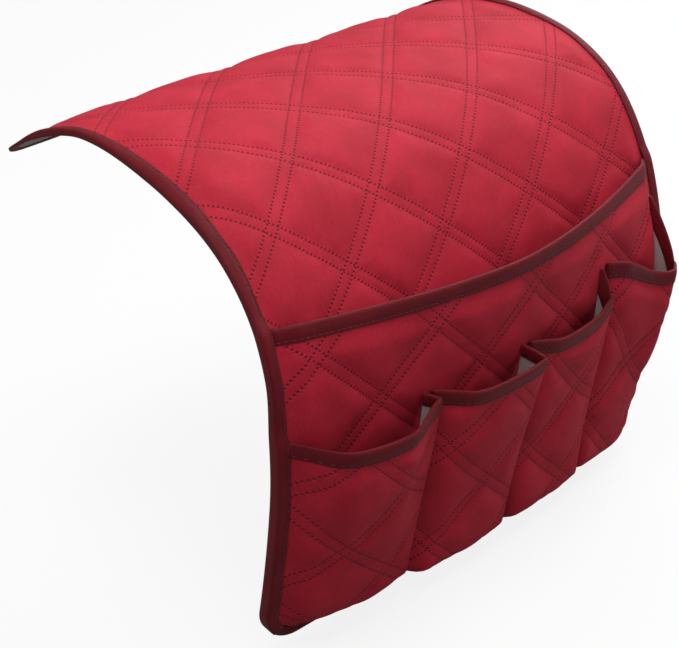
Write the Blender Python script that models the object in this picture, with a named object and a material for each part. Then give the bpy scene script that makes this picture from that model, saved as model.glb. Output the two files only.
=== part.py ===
"""Sofa armrest organizer: a quilted drape for a sofa's arm, with one wide pocket and four small pockets on its front.

Lengths are metres. X runs along the arm, -Y points out to the pockets and +Z is up.
The origin is on the underside of the drape, at the top of the arm and halfway along it.

Every sheet is drawn flat first. A point on it has three values: x across the drape, v down
the cloth from the top of the arm, and n, its height over the face cloth's seams.
The function bend then lays it over the arm.
"""
import math

import bmesh
import bpy
from mathutils import Matrix, Vector

# The drape, measured along the cloth.
drape_width = 0.330
front_length = 0.350
back_length = 0.107
front_corner_radius = 0.025
back_corner_radius = 0.014

# The arm under it: how steep the cloth is at each distance from the top, in arm radii.
arm_radius = 0.130
slope_knot_shares = (-2.0, -0.923, -0.308, 0.308, 0.846, 1.385, 1.923, 2.538, 3.231)
slope_degrees = (-105.3, -48.5, -11.7, 10.9, 53.7, 81.0, 95.9, 100.9, 106.0)
slope_steps_per_knot = 60

# The free right edge stands out where the last small pocket pulls on it.
edge_pull = 0.012
edge_pull_reach = 0.060
edge_pull_drop = 0.232
edge_pull_height = 0.075

# Plies.
face_cloth = 0.0006
wadding = 0.0010
lining_cloth = 0.0005
ply_gap = 0.0003

# Quilting: diamonds between lines that cross the cloth both ways.
quilt_pitch_across = 0.07406
quilt_pitch_down = 0.06818
quilt_start_across = 0.0701
quilt_start_down = -0.0027
quilt_puff = 0.0030
quilt_steps = 4
puff_run = 0.012

# Binding tape round the drape.
binding_width = 0.0075
binding_cloth = 0.0005
binding_room = 0.0003
binding_ramp = 0.008
corner_steps = 5

# Wide pocket for magazines.
wide_pocket_depth = 0.204
wide_pocket_bow = 0.026
wide_pocket_sag = 0.012
wide_sag_power = 3.0
wide_foot = 0.0012
wide_bow_power = 3.0
wide_across_power = 1.7
wide_toe_bow = 0.005
wide_toe_run = 0.014

# Four small pockets.
small_pocket_depth = 0.142
small_width_shares = (0.291, 0.239, 0.242, 0.228)
small_pocket_stand = 0.012
small_stand_shares = (1.7, 1.3, 0.7, 0.7)
small_fold_shares = (0.4, 1.0, 0.5, 0.9)
small_stand_power = 0.7
small_seam_rise = 0.016
small_seam_shares = (0.0, 0.24, 0.33, 1.6, 0.0)
small_seam_run = 0.032
small_side_reach = 0.017
small_reach_shares = (1.0, 1.0, 1.0, 0.8)
small_toe_run = 0.005
small_toe_bow = 0.006
small_toe_power = 3.0
side_tape_start_share = 0.2
small_bulge_share = 0.12
small_foot = 0.0005

# Tape on the pocket mouths.
rim_height = 0.008
rim_cloth = 0.0005

# Gaps between neighbouring pieces of cloth.
seam_gap = 0.0007
piece_gap = 0.0004
gusset_gap = 0.0010

# Derived sizes.
plies_thickness = face_cloth + ply_gap + wadding + ply_gap + lining_cloth
pocket_plies = lining_cloth + ply_gap + face_cloth
sheet_inset = binding_cloth + binding_room
edge_land = binding_width + seam_gap
wide_rim_down = front_length - wide_pocket_depth
small_rim_down = front_length - small_pocket_depth
pocket_floor_down = front_length - edge_land
rim_land = rim_height + seam_gap
lattice_across = quilt_pitch_across / quilt_steps
lattice_down = quilt_pitch_down / quilt_steps


def smooth(t):
    """Return a smooth step from 0 to 1."""
    t = min(1.0, max(0.0, t))
    return t * t * (3.0 - 2.0 * t)


def slope_at(v):
    """Return how steeply the cloth falls at v, in radians."""
    knots = [arm_radius * share for share in slope_knot_shares]
    v = min(knots[-1], max(knots[0], v))
    for k in range(len(knots) - 1):
        if v <= knots[k + 1]:
            break
    part = (v - knots[k]) / (knots[k + 1] - knots[k])
    angle = slope_degrees[k] + part * (slope_degrees[k + 1] - slope_degrees[k])
    return math.radians(angle)


def arm_profile():
    """Return the cloth's path over the arm as rows of v, y and z, with the top of the arm at 0."""
    low = arm_radius * slope_knot_shares[0]
    high = arm_radius * slope_knot_shares[-1]
    count = slope_steps_per_knot * (len(slope_knot_shares) - 1)
    step = (high - low) / count
    rows = [(low, 0.0, 0.0)]
    for k in range(count):
        v, y, z = rows[-1]
        angle = slope_at(v + step / 2.0)
        rows.append((v + step, y - step * math.cos(angle), z - step * math.sin(angle)))
    top = max(rows, key=lambda row: row[2])
    return [(v, y - top[1], z - top[2]) for v, y, z in rows]


PROFILE = arm_profile()


def profile_at(v):
    """Return y, z and the slope of the cloth at v."""
    low = PROFILE[0][0]
    step = (PROFILE[-1][0] - low) / (len(PROFILE) - 1)
    place = (v - low) / step
    k = min(len(PROFILE) - 2, max(0, int(place)))
    part = place - k
    y = PROFILE[k][1] + part * (PROFILE[k + 1][1] - PROFILE[k][1])
    z = PROFILE[k][2] + part * (PROFILE[k + 1][2] - PROFILE[k][2])
    return y, z, slope_at(v)


def rounded(x, v):
    """Return x and v with the drape's four corners rounded."""
    for side, radius in ((1.0, front_corner_radius), (-1.0, back_corner_radius)):
        end = front_length if side > 0 else back_length
        middle_v = side * (end - radius)
        middle_x = min(drape_width - radius, max(radius, x))
        dx = x - middle_x
        dv = v - middle_v
        if dx != 0.0 and dv * side > 0.0:
            reach = max(abs(dx), abs(dv))
            scale = reach / math.hypot(dx, dv)
            return middle_x + dx * scale, middle_v + dv * scale
    return x, v


def bend(x, v, n):
    """Lay a point of the flat cloth over the arm."""
    y, z, slope = profile_at(v)
    across = smooth((x - (drape_width - edge_pull_reach)) / edge_pull_reach)
    down = smooth(1.0 - abs(v - edge_pull_drop) / edge_pull_height)
    n = n + edge_pull * across * down
    return Vector((
        x - drape_width / 2.0,
        y - n * math.sin(slope),
        z + n * math.cos(slope) + plies_thickness,
    ))


def lay(x, v, n):
    """Round the corners, then lay the point over the arm."""
    x, v = rounded(x, v)
    return bend(x, v, n)


def edge_distance(x, v):
    """Return how far a point of the drape is from its nearest edge."""
    return min(x, drape_width - x, v + back_length, front_length - v)


def land_fade(distance, land):
    """Return 0 on a flat land beside an edge, rising to 1 inside it."""
    return smooth((distance - land) / puff_run)


def quilt(x, v):
    """Return the padding's rise between the quilt lines, from 0 on a line to 1 in a diamond."""
    a = (x - quilt_start_across) / quilt_pitch_across
    b = (v - quilt_start_down) / quilt_pitch_down
    one = abs((a + b) - round(a + b))
    other = abs((b - a) - round(b - a))
    rise = 1.0 - 2.0 * min(one, other)
    return 1.0 - rise * rise


def drape_fade(x, v):
    """Return how far the drape's puff has risen from its bound edges."""
    return land_fade(edge_distance(x, v), edge_land)


def drape_puff(x, v):
    """Return the height of the drape's face cloth over its seams."""
    return quilt_puff * quilt(x, v) * drape_fade(x, v)


def wide_across(x):
    """Return the share of the wide pocket's bow at x."""
    t = (x - edge_land) / (drape_width - 2.0 * edge_land)
    t = min(1.0, max(0.0, t))
    return 1.0 - abs(2.0 * t - 1.0) ** wide_across_power


def wide_rise(v):
    """Return how far up the wide pocket v is, from 0 at its floor to 1 at its mouth."""
    t = (pocket_floor_down - v) / (pocket_floor_down - wide_rim_down)
    return min(1.0, max(0.0, t))


def wide_level(x, v):
    """Return the height of the wide pocket's inner side over the drape."""
    bow = wide_pocket_bow * wide_rise(v) ** wide_bow_power
    toe = wide_toe_bow * smooth((pocket_floor_down - v) / wide_toe_run)
    return wide_foot + quilt_puff * drape_fade(x, v) + (bow + toe) * wide_across(x)


def wide_down(x, v):
    """Return v after the wide pocket's mouth has sagged."""
    return v + wide_pocket_sag * wide_across(x) * wide_rise(v) ** wide_sag_power


def wide_fade(x, v):
    """Return how far the wide pocket's puff has risen from its tapes."""
    side = min(x, drape_width - x, front_length - v)
    return land_fade(side, edge_land) * land_fade(v - wide_rim_down, rim_land)


def wide_face_level(x, v):
    """Return the height of the wide pocket's outer side, at its seams."""
    return wide_level(x, v) + pocket_plies


def small_floor_level(x, v):
    """Return the height of everything under the small pockets."""
    return wide_face_level(x, v) + quilt_puff * wide_fade(x, v) + ply_gap


def lay_wide(x, v, n):
    """Lay a point of the wide pocket over the arm, with the mouth's sag."""
    return lay(x, wide_down(x, v), n)


class SmallPocket:
    """One small pocket: its seams, and how its front stands off the wide pocket."""

    def __init__(self, number):
        shares = small_width_shares
        self.name = "small_pocket_%d" % number
        self.left = drape_width * sum(shares[:number - 1])
        self.right = drape_width * sum(shares[:number])
        if number == 1:
            self.left = edge_land
        if number == len(shares):
            self.right = drape_width - edge_land - seam_gap
        self.side_reach = small_side_reach * small_reach_shares[number - 1]
        self.front_left = self.left + self.side_reach
        self.floor = pocket_floor_down - seam_gap
        self.full_stand = small_pocket_stand * small_stand_shares[number - 1]
        self.fold_share = small_fold_shares[number - 1]
        self.left_rise = small_seam_rise * small_seam_shares[number - 1]
        self.right_rise = small_seam_rise * small_seam_shares[number]

    def rise(self, v):
        """Return 0 at the pocket's floor and 1 at its mouth."""
        t = (self.floor - v) / (self.floor - small_rim_down)
        return min(1.0, max(0.0, t))

    def across(self, x):
        """Return 0 at the ends of the front and 1 in its middle."""
        t = (x - self.front_left) / (self.right - self.front_left)
        t = min(1.0, max(0.0, t))
        return 4.0 * t * (1.0 - t)

    def toe(self, v):
        """Return 0 at the floor seam and above the full toe, and about 1 in the toe."""
        return smooth((self.floor - v) / small_toe_run) * (1.0 - self.rise(v)) ** small_toe_power

    def stand(self, x, v):
        """Return how far the front stands off what is under it."""
        arch = 1.0 - small_bulge_share + small_bulge_share * self.across(x)
        middle = (self.front_left + self.right) / 2.0
        turn = smooth((x - middle) / (self.right - middle))
        full = self.full_stand * arch * (1.0 - (1.0 - self.fold_share) * turn)
        return full * self.rise(v) ** small_stand_power + small_toe_bow * self.toe(v) * arch

    def level(self, x, v):
        """Return the height of the front's inner side."""
        return small_floor_level(x, self.down(x, v)) + small_foot + self.stand(x, v)

    def side_level(self, x, v):
        """Return the height of the slanting left side's inner face."""
        t = (x - self.left) / (self.front_left - self.left)
        t = min(1.0, max(0.0, t))
        high = self.stand(self.front_left, v)
        return small_floor_level(x, self.down(x, v)) + small_foot + high * t

    def down(self, x, v):
        """Return v after the mouth has risen to its left seam."""
        lift = self.left_rise * smooth(1.0 - (x - self.left) / small_seam_run)
        return v - lift * self.rise(v)

    def fade(self, x, v):
        """Return how far the front's puff has risen from its tape and folds."""
        side = min(x - self.front_left, self.right - x)
        down = min(v - small_rim_down - rim_land, self.floor - v)
        return smooth(side / puff_run) * smooth(down / puff_run)

    def lay(self, x, v, n):
        """Lay a point of this pocket over the arm."""
        return lay(x, wide_down(x, self.down(x, v)), n)

    def hinge(self):
        """Return the point on its floor seam about which the front swings."""
        x = (self.front_left + self.right) / 2.0
        n = self.level(x, self.floor) + pocket_plies / 2.0
        return bend(x, self.floor, n)


def cuts(low, high, step, start, near=0.35, ends=()):
    """Return the lines of a grid from low to high: both ends, the extra ends and the lattice between."""
    fixed = sorted({low, high, *ends})
    count = int((high - start) / step) + 1
    first = int((low - start) / step) - 1
    lines = list(fixed)
    for k in range(first, count + 1):
        line = start + k * step
        if low < line < high and all(abs(line - end) > near * step for end in fixed):
            lines.append(line)
    return sorted(lines)


def new_collection(name):
    """Return a new collection in the scene."""
    collection = bpy.data.collections.new(name)
    bpy.context.scene.collection.children.link(collection)
    return collection


def new_material(name, colour, roughness, sheen):
    """Return a material with one colour."""
    material = bpy.data.materials.new(name)
    material.use_nodes = True
    shader = material.node_tree.nodes["Principled BSDF"]
    shader.inputs["Base Color"].default_value = (*colour, 1.0)
    shader.inputs["Roughness"].default_value = roughness
    shader.inputs["Sheen Weight"].default_value = sheen
    material.diffuse_color = (*colour, 1.0)
    return material


def face_outward(mesh_maker):
    """Turn every face of a closed mesh outward."""
    bmesh.ops.recalc_face_normals(mesh_maker, faces=mesh_maker.faces[:])
    if mesh_maker.calc_volume(signed=True) < 0.0:
        bmesh.ops.reverse_faces(mesh_maker, faces=mesh_maker.faces[:])


def finish_object(mesh_maker, name, material, collection):
    """Turn a bmesh into a named, smooth-shaded object with its faces outward."""
    face_outward(mesh_maker)
    mesh = bpy.data.meshes.new(name)
    mesh_maker.to_mesh(mesh)
    mesh_maker.free()
    for polygon in mesh.polygons:
        polygon.use_smooth = True
    mesh.materials.append(material)
    item = bpy.data.objects.new(name, mesh)
    collection.objects.link(item)
    return item


def set_origin(item, point):
    """Put an object's origin at a point and leave its shape where it is."""
    item.data.transform(Matrix.Translation(-point))
    item.location = point


def valley_split(mesh_maker, height):
    """Split each four-sided face along the diagonal that lies lower, so that valleys stay sharp."""
    for face in list(mesh_maker.faces):
        if len(face.verts) != 4:
            continue
        a, b, c, d = face.verts
        if height[a] + height[c] <= height[b] + height[d]:
            bmesh.utils.face_split(face, a, c)
        else:
            bmesh.utils.face_split(face, b, d)


def cloth(name, columns, rows, outer, inner, put, material, collection):
    """Make one closed sheet of cloth.

    columns and rows are its grid lines, outer and inner give the height of its two sides at
    x and v, and put lays a point in the part. Its faces are split along the quilt's valleys,
    the same way in every ply, so that neighbouring plies stay apart.
    """
    maker = bmesh.new()
    across = len(columns) - 1
    down = len(rows) - 1
    bmesh.ops.create_grid(maker, x_segments=across, y_segments=down, size=0.5)
    bmesh.ops.solidify(maker, geom=maker.faces[:], thickness=1.0)
    maker.verts.ensure_lookup_table()
    middle = sum(vert.co.z for vert in maker.verts) / len(maker.verts)
    height = {}
    for vert in maker.verts:
        x = columns[round((vert.co.x + 0.5) * across)]
        v = rows[round((vert.co.y + 0.5) * down)]
        level = outer if vert.co.z > middle else inner
        height[vert] = quilt(x, v)
        vert.co = put(x, v, level(x, v))
    valley_split(maker, height)
    return finish_object(maker, name, material, collection)


def hem(name, columns, path, put, material, collection):
    """Make a tape folded over an edge.

    path lists pairs of points of its section, an outer and an inner one, each as the distance
    down from the edge and a function that gives the height there. put lays a point in the part.
    """
    maker = bmesh.new()
    across = len(columns) - 1
    round_edge = len(path) - 1
    bmesh.ops.create_grid(maker, x_segments=across, y_segments=round_edge, size=0.5)
    bmesh.ops.solidify(maker, geom=maker.faces[:], thickness=1.0)
    middle = sum(vert.co.z for vert in maker.verts) / len(maker.verts)
    height = {}
    for vert in maker.verts:
        x = columns[round((vert.co.x + 0.5) * across)]
        pair = path[round((vert.co.y + 0.5) * round_edge)]
        drop, level = pair[0] if vert.co.z > middle else pair[1]
        height[vert] = quilt(x, drop)
        vert.co = put(x, drop, level(x))
    valley_split(maker, height)
    return finish_object(maker, name, material, collection)


def rim_path(start, front, back):
    """Return a mouth tape's section: front outer land, over the edge, back outer land."""
    room = binding_room
    tape = rim_cloth

    def front_at(extra):
        return lambda x, v: front(x, v) + extra

    def back_at(extra):
        return lambda x, v: back(x, v) - extra

    def middle_at(x, v):
        return (front(x, v) + back(x, v)) / 2.0

    def point(drop, level):
        v = start + drop
        return (v, lambda x: level(x, max(start, v)))

    return [
        (point(rim_height, front_at(room + tape)), point(rim_height, front_at(room))),
        (point(0.0, front_at(room + tape)), point(0.0, front_at(room))),
        (point(-room - tape, front_at(room)), point(-room, front_at(room / 2.0))),
        (point(-room - tape * 1.5, middle_at), point(-room, middle_at)),
        (point(-room - tape, back_at(room)), point(-room, back_at(room / 2.0))),
        (point(0.0, back_at(room + tape)), point(0.0, back_at(room))),
        (point(rim_height, back_at(room + tape)), point(rim_height, back_at(room))),
    ]


def edge_stations(rows, columns):
    """Return the drape's outline as points with their inward direction, once round."""
    width = drape_width
    front_v = front_length - front_corner_radius
    back_v = back_corner_radius - back_length
    ramp = (wide_rim_down - binding_ramp, wide_rim_down - ply_gap * 2.0)
    near = lattice_down / 4.0
    sides = [v for v in rows if back_v + near < v < front_v - near]
    sides = [v for v in sides if all(abs(v - stop) > near for stop in ramp)]
    sides = sorted({*sides, back_v, front_v, *ramp})

    def corner(middle_x, middle_v, radius, first):
        turned = []
        for k in range(1, corner_steps):
            angle = math.radians(first - 90.0 * k / corner_steps)
            out_x = math.cos(angle)
            out_v = math.sin(angle)
            turned.append((middle_x + radius * out_x, middle_v + radius * out_v, -out_x, -out_v))
        return turned

    def end_line(radius):
        inner = [x for x in columns if radius + near < x < width - radius - near]
        return [radius, *inner, width - radius]

    left = [(0.0, v, 1.0, 0.0) for v in sides]
    right = [(width, v, -1.0, 0.0) for v in reversed(sides)]
    front = [(x, front_length, 0.0, -1.0) for x in end_line(front_corner_radius)]
    back = [(x, -back_length, 0.0, 1.0) for x in reversed(end_line(back_corner_radius))]
    return [
        *left,
        *corner(front_corner_radius, front_v, front_corner_radius, 180.0),
        *front,
        *corner(width - front_corner_radius, front_v, front_corner_radius, 90.0),
        *right,
        *corner(width - back_corner_radius, back_v, back_corner_radius, 0.0),
        *back,
        *corner(back_corner_radius, back_v, back_corner_radius, -90.0),
    ]


def channel_top(v):
    """Return the height of the edge tape's inner top wall: it is deeper where it also holds the wide pocket."""
    low = wide_rim_down - binding_ramp
    high = wide_rim_down - ply_gap * 2.0
    part = min(1.0, max(0.0, (v - low) / (high - low)))
    return binding_room + part * (wide_foot + pocket_plies)


def edge_binding(stations, material, collection):
    """Make the tape sewn round the whole drape, as a ring whose section is a U."""
    wall = binding_cloth
    bottom = -plies_thickness - binding_room

    def section(top):
        middle = (top + bottom) / 2.0
        return [
            (binding_width, top + wall),
            (wall * 2.0, top + wall),
            (wall / 2.0, top + wall / 3.0),
            (0.0, middle),
            (wall / 2.0, bottom - wall / 3.0),
            (wall * 2.0, bottom - wall),
            (binding_width, bottom - wall),
            (binding_width, bottom),
            (wall, bottom),
            (wall, top),
            (binding_width, top),
        ]

    count = len(section(0.0))
    bpy.ops.mesh.primitive_torus_add(
        major_segments=len(stations), minor_segments=count, major_radius=1.0, minor_radius=0.25)
    item = bpy.context.active_object
    for old in list(item.users_collection):
        old.objects.unlink(item)
    collection.objects.link(item)
    item.name = "edge_binding"
    item.data.name = "edge_binding"
    for k, (x, v, in_x, in_v) in enumerate(stations):
        for m, (inset, n) in enumerate(section(channel_top(v))):
            vert = item.data.vertices[k * count + m]
            vert.co = bend(x + in_x * inset, v + in_v * inset, n)
    maker = bmesh.new()
    maker.from_mesh(item.data)
    face_outward(maker)
    maker.to_mesh(item.data)
    maker.free()
    for polygon in item.data.polygons:
        polygon.use_smooth = True
    item.data.materials.clear()
    item.data.materials.append(material)
    return item


def build_drape(finishes, collection):
    """Make the drape's face cloth, wadding, lining and edge tape."""
    low_x = sheet_inset
    high_x = drape_width - sheet_inset
    low_v = -back_length + sheet_inset
    high_v = front_length - sheet_inset
    columns = cuts(low_x, high_x, lattice_across, quilt_start_across,
                   ends=(edge_land, drape_width - edge_land))
    rows = cuts(low_v, high_v, lattice_down, quilt_start_down,
                ends=(-back_length + edge_land, front_length - edge_land))
    under_face = face_cloth + ply_gap
    wadding_under = under_face + wadding
    cloth("drape_face", columns, rows, drape_puff, lambda x, v: drape_puff(x, v) - face_cloth,
          lay, finishes["face"], collection)
    cloth("drape_wadding", columns, rows, lambda x, v: drape_puff(x, v) - under_face,
          lambda x, v: -wadding_under, lay, finishes["wadding"], collection)
    cloth("drape_lining", columns, rows, lambda x, v: -wadding_under - ply_gap,
          lambda x, v: -plies_thickness, lay, finishes["lining"], collection)
    edge_binding(edge_stations(rows, columns), finishes["binding"], collection)


def build_wide_pocket(finishes, collection):
    """Make the wide pocket's face cloth, lining and mouth tape."""
    low_x = sheet_inset
    high_x = drape_width - sheet_inset
    high_v = front_length - sheet_inset
    columns = cuts(low_x, high_x, lattice_across, quilt_start_across,
                   ends=(edge_land, drape_width - edge_land))
    rows = cuts(wide_rim_down, high_v, lattice_down, quilt_start_down,
                ends=(wide_rim_down + rim_land, pocket_floor_down - wide_toe_run / 2.0,
                      front_length - edge_land))

    def puff(x, v):
        return quilt_puff * quilt(x, v) * wide_fade(x, v)

    cloth("wide_pocket_face", columns, rows,
          lambda x, v: wide_face_level(x, v) + puff(x, v),
          lambda x, v: wide_face_level(x, v) - face_cloth,
          lay_wide, finishes["face"], collection)
    cloth("wide_pocket_lining", columns, rows,
          lambda x, v: wide_level(x, v) + lining_cloth, wide_level,
          lay_wide, finishes["lining"], collection)
    rim_columns = cuts(edge_land, drape_width - edge_land, lattice_across, quilt_start_across)
    hem("wide_pocket_mouth_tape", rim_columns, rim_path(wide_rim_down, wide_face_level, wide_level),
        lay_wide, finishes["binding"], collection)


def build_small_pocket(number, finishes, collection):
    """Make one small pocket: its front, lining, mouth tape, slanting side with its tape, and gusset."""
    pocket = SmallPocket(number)
    left = pocket.front_left + piece_gap
    right = pocket.right
    columns = cuts(left, right, lattice_across, quilt_start_across)
    rows = cuts(small_rim_down, pocket.floor, lattice_down, quilt_start_down,
                ends=(small_rim_down + rim_land, pocket.floor - small_toe_run))

    def face_level(x, v):
        return pocket.level(x, v) + pocket_plies

    def puff(x, v):
        return quilt_puff * quilt(x, v) * pocket.fade(x, v)

    front = cloth(
        pocket.name + "_front", columns, rows,
        lambda x, v: face_level(x, v) + puff(x, v),
        lambda x, v: face_level(x, v) - face_cloth,
        pocket.lay, finishes["face"], collection)
    lining = cloth(
        pocket.name + "_lining", columns, rows,
        lambda x, v: pocket.level(x, v) + lining_cloth, pocket.level,
        pocket.lay, finishes["lining"], collection)
    tape = hem(
        pocket.name + "_mouth_tape", columns, rim_path(small_rim_down, face_level, pocket.level),
        pocket.lay, finishes["binding"], collection)
    for moving in (front, lining, tape):
        set_origin(moving, pocket.hinge())

    def side_face_level(x, v):
        return pocket.side_level(x, v) + pocket_plies

    fold = pocket.front_left - piece_gap
    tape_start = pocket.left + side_tape_start_share * pocket.side_reach
    tape_columns = [tape_start, (tape_start + fold) / 2.0, fold]
    side_columns = [pocket.left + seam_gap, *tape_columns]
    cloth(pocket.name + "_side", side_columns, rows, side_face_level, pocket.side_level,
          pocket.lay, finishes["face"], collection)
    hem(pocket.name + "_side_tape", tape_columns,
        rim_path(small_rim_down, side_face_level, pocket.side_level),
        pocket.lay, finishes["binding"], collection)

    thick = seam_gap
    shares = (0.0, 0.5, 1.0)

    def gusset_point(share, v, outward):
        x = right - thick - piece_gap + outward
        at = v - (1.0 - share) * pocket.right_rise * pocket.rise(v)
        low = small_floor_level(x, at) + small_foot / 2.0
        high = pocket.level(x, v) - gusset_gap
        return pocket.lay(x, at, low + share * (high - low))

    gusset_rows = [v for v in rows if small_rim_down + rim_land <= v <= pocket.floor - lattice_down]
    cloth(pocket.name + "_gusset", shares, gusset_rows, lambda share, v: thick, lambda share, v: 0.0,
          gusset_point, finishes["face"], collection)


def main():
    """Build the organizer in an empty scene."""
    for item in list(bpy.data.objects):
        bpy.data.objects.remove(item, do_unlink=True)
    collection = new_collection("sofa_armrest_organizer")
    finishes = {
        "face": new_material("wine_red_cloth", (0.33, 0.018, 0.035), 0.8, 0.4),
        "wadding": new_material("white_wadding", (0.78, 0.78, 0.76), 0.95, 0.0),
        "lining": new_material("grey_lining", (0.36, 0.30, 0.31), 0.9, 0.0),
        "binding": new_material("dark_red_tape", (0.11, 0.012, 0.025), 0.55, 0.2),
    }
    build_drape(finishes, collection)
    build_wide_pocket(finishes, collection)
    for number in range(1, len(small_width_shares) + 1):
        build_small_pocket(number, finishes, collection)


main()
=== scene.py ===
"""The looks of a sofa armrest organizer, made over its CAD frame.

A quilted drape lies over the round arm of a sofa. One wide pocket is sewn on its hanging
front, four small pleated pockets are sewn on that, and a folded tape binds every edge.

Lengths are metres. Each cloth is drawn flat first: x runs across the drape, v runs down the
cloth from the top of the arm, and n is the height over the drape's seams. Arm.lay then puts
such a point where it belongs. Every cloth piece keeps x and v in a UV map named "cloth",
which its material reads.
"""
from __future__ import annotations

import logging
import math
from dataclasses import dataclass, field
from enum import Enum
from typing import Callable, Sequence

import bmesh
import bpy
from mathutils import Matrix, Vector, noise


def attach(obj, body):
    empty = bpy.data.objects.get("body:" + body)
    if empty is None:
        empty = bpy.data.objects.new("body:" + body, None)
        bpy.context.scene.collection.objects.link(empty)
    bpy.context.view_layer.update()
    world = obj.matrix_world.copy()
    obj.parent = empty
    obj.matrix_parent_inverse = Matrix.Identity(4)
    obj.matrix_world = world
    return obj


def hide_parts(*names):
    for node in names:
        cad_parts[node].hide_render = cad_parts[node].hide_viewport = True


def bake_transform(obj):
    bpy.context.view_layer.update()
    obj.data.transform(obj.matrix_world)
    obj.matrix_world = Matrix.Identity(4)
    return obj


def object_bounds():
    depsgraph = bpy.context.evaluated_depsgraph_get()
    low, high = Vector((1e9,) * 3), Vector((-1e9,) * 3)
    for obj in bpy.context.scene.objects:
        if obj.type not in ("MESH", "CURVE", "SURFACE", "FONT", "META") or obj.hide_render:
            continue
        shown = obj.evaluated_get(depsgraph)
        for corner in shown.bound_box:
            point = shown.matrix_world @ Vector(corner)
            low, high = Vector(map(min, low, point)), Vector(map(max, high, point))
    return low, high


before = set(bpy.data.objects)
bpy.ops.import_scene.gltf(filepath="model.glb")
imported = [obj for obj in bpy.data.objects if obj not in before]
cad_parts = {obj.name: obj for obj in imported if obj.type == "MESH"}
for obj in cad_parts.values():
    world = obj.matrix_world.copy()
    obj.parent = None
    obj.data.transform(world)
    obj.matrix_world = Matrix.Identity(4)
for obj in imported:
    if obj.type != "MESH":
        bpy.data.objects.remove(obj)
CAD_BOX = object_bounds()
LOG = logging.getLogger("organizer")

Height = Callable[[float, float], float]
Put = Callable[[float, float, float], Vector]
Pattern = Callable[[float, float], tuple[float, float]]
Colour = tuple[float, float, float]
# Height, length and seed of each wave.
Waves = tuple[tuple[float, float, float], ...]
# Scale, detail and roughness of a Noise texture.
Grain = tuple[float, float, float]
# Start, run-in, end and run-out of a stretch of cloth.
Window = tuple[float, float, float, float]


class Slot(Enum):
    """The record's material slots."""

    CLOTH = "wine_red_cloth"
    PADDING = "white_wadding"
    LINING = "grey_lining"
    TAPE = "dark_red_tape"


def smooth(t: float) -> float:
    """Return a smooth step from 0 to 1."""
    t = min(1.0, max(0.0, t))
    return t * t * (3.0 - 2.0 * t)


def round_ramp(t: float, start: float = 0.75) -> float:
    """Return t, turned over to 1 in a rounded corner.

    Args:
        t: Share of the ramp, which may be more than 1.
        start: Share at which the corner starts.

    Returns:
        A value from 0 to 1.
    """
    end = 2.0 - start
    if t <= start:
        return max(0.0, t)
    if t >= end:
        return 1.0
    return t - (t - start) ** 2 / (2.0 * (end - start))


def waver(x: float, v: float, size: float, seed: float) -> float:
    """Return smooth noise from about -1 to 1 whose waves are about size long."""
    return 2.0 * noise.noise(Vector((x / size, v / size, seed)))


def wrinkles(x: float, v: float, waves: Waves) -> float:
    """Return the sum of several waves at x and v."""
    return sum(height * waver(x, v, length, seed) for height, length, seed in waves)


def window(t: float, low: float, run_in: float, high: float, run_out: float) -> float:
    """Return 1 inside a stretch from low to high that fades in and out."""
    return smooth((t - low) / run_in) * smooth((high - t) / run_out)


def thinned(lines: Sequence[float], every: int) -> list[float]:
    """Return the first of every so many grid lines, and the last line."""
    return sorted({*lines[::every], lines[-1]})


def grid_lines(low: float, high: float, step: float, start: float,
               ends: Sequence[float] = (), apart: float = 0.35) -> list[float]:
    """Return grid lines from low to high.

    Args:
        low: First line.
        high: Last line.
        step: Distance between the pattern's lines.
        start: A place where one of the pattern's lines lies.
        ends: Further places that get a line of their own.
        apart: How many steps the pattern's lines keep away from those.

    Returns:
        The lines in rising order.
    """
    fixed = sorted({low, high, *[end for end in ends if low < end < high]})
    lines = list(fixed)
    for k in range(math.floor((low - start) / step), math.ceil((high - start) / step) + 1):
        line = start + k * step
        if low < line < high and all(abs(line - end) > apart * step for end in fixed):
            lines.append(line)
    return sorted(lines)


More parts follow.
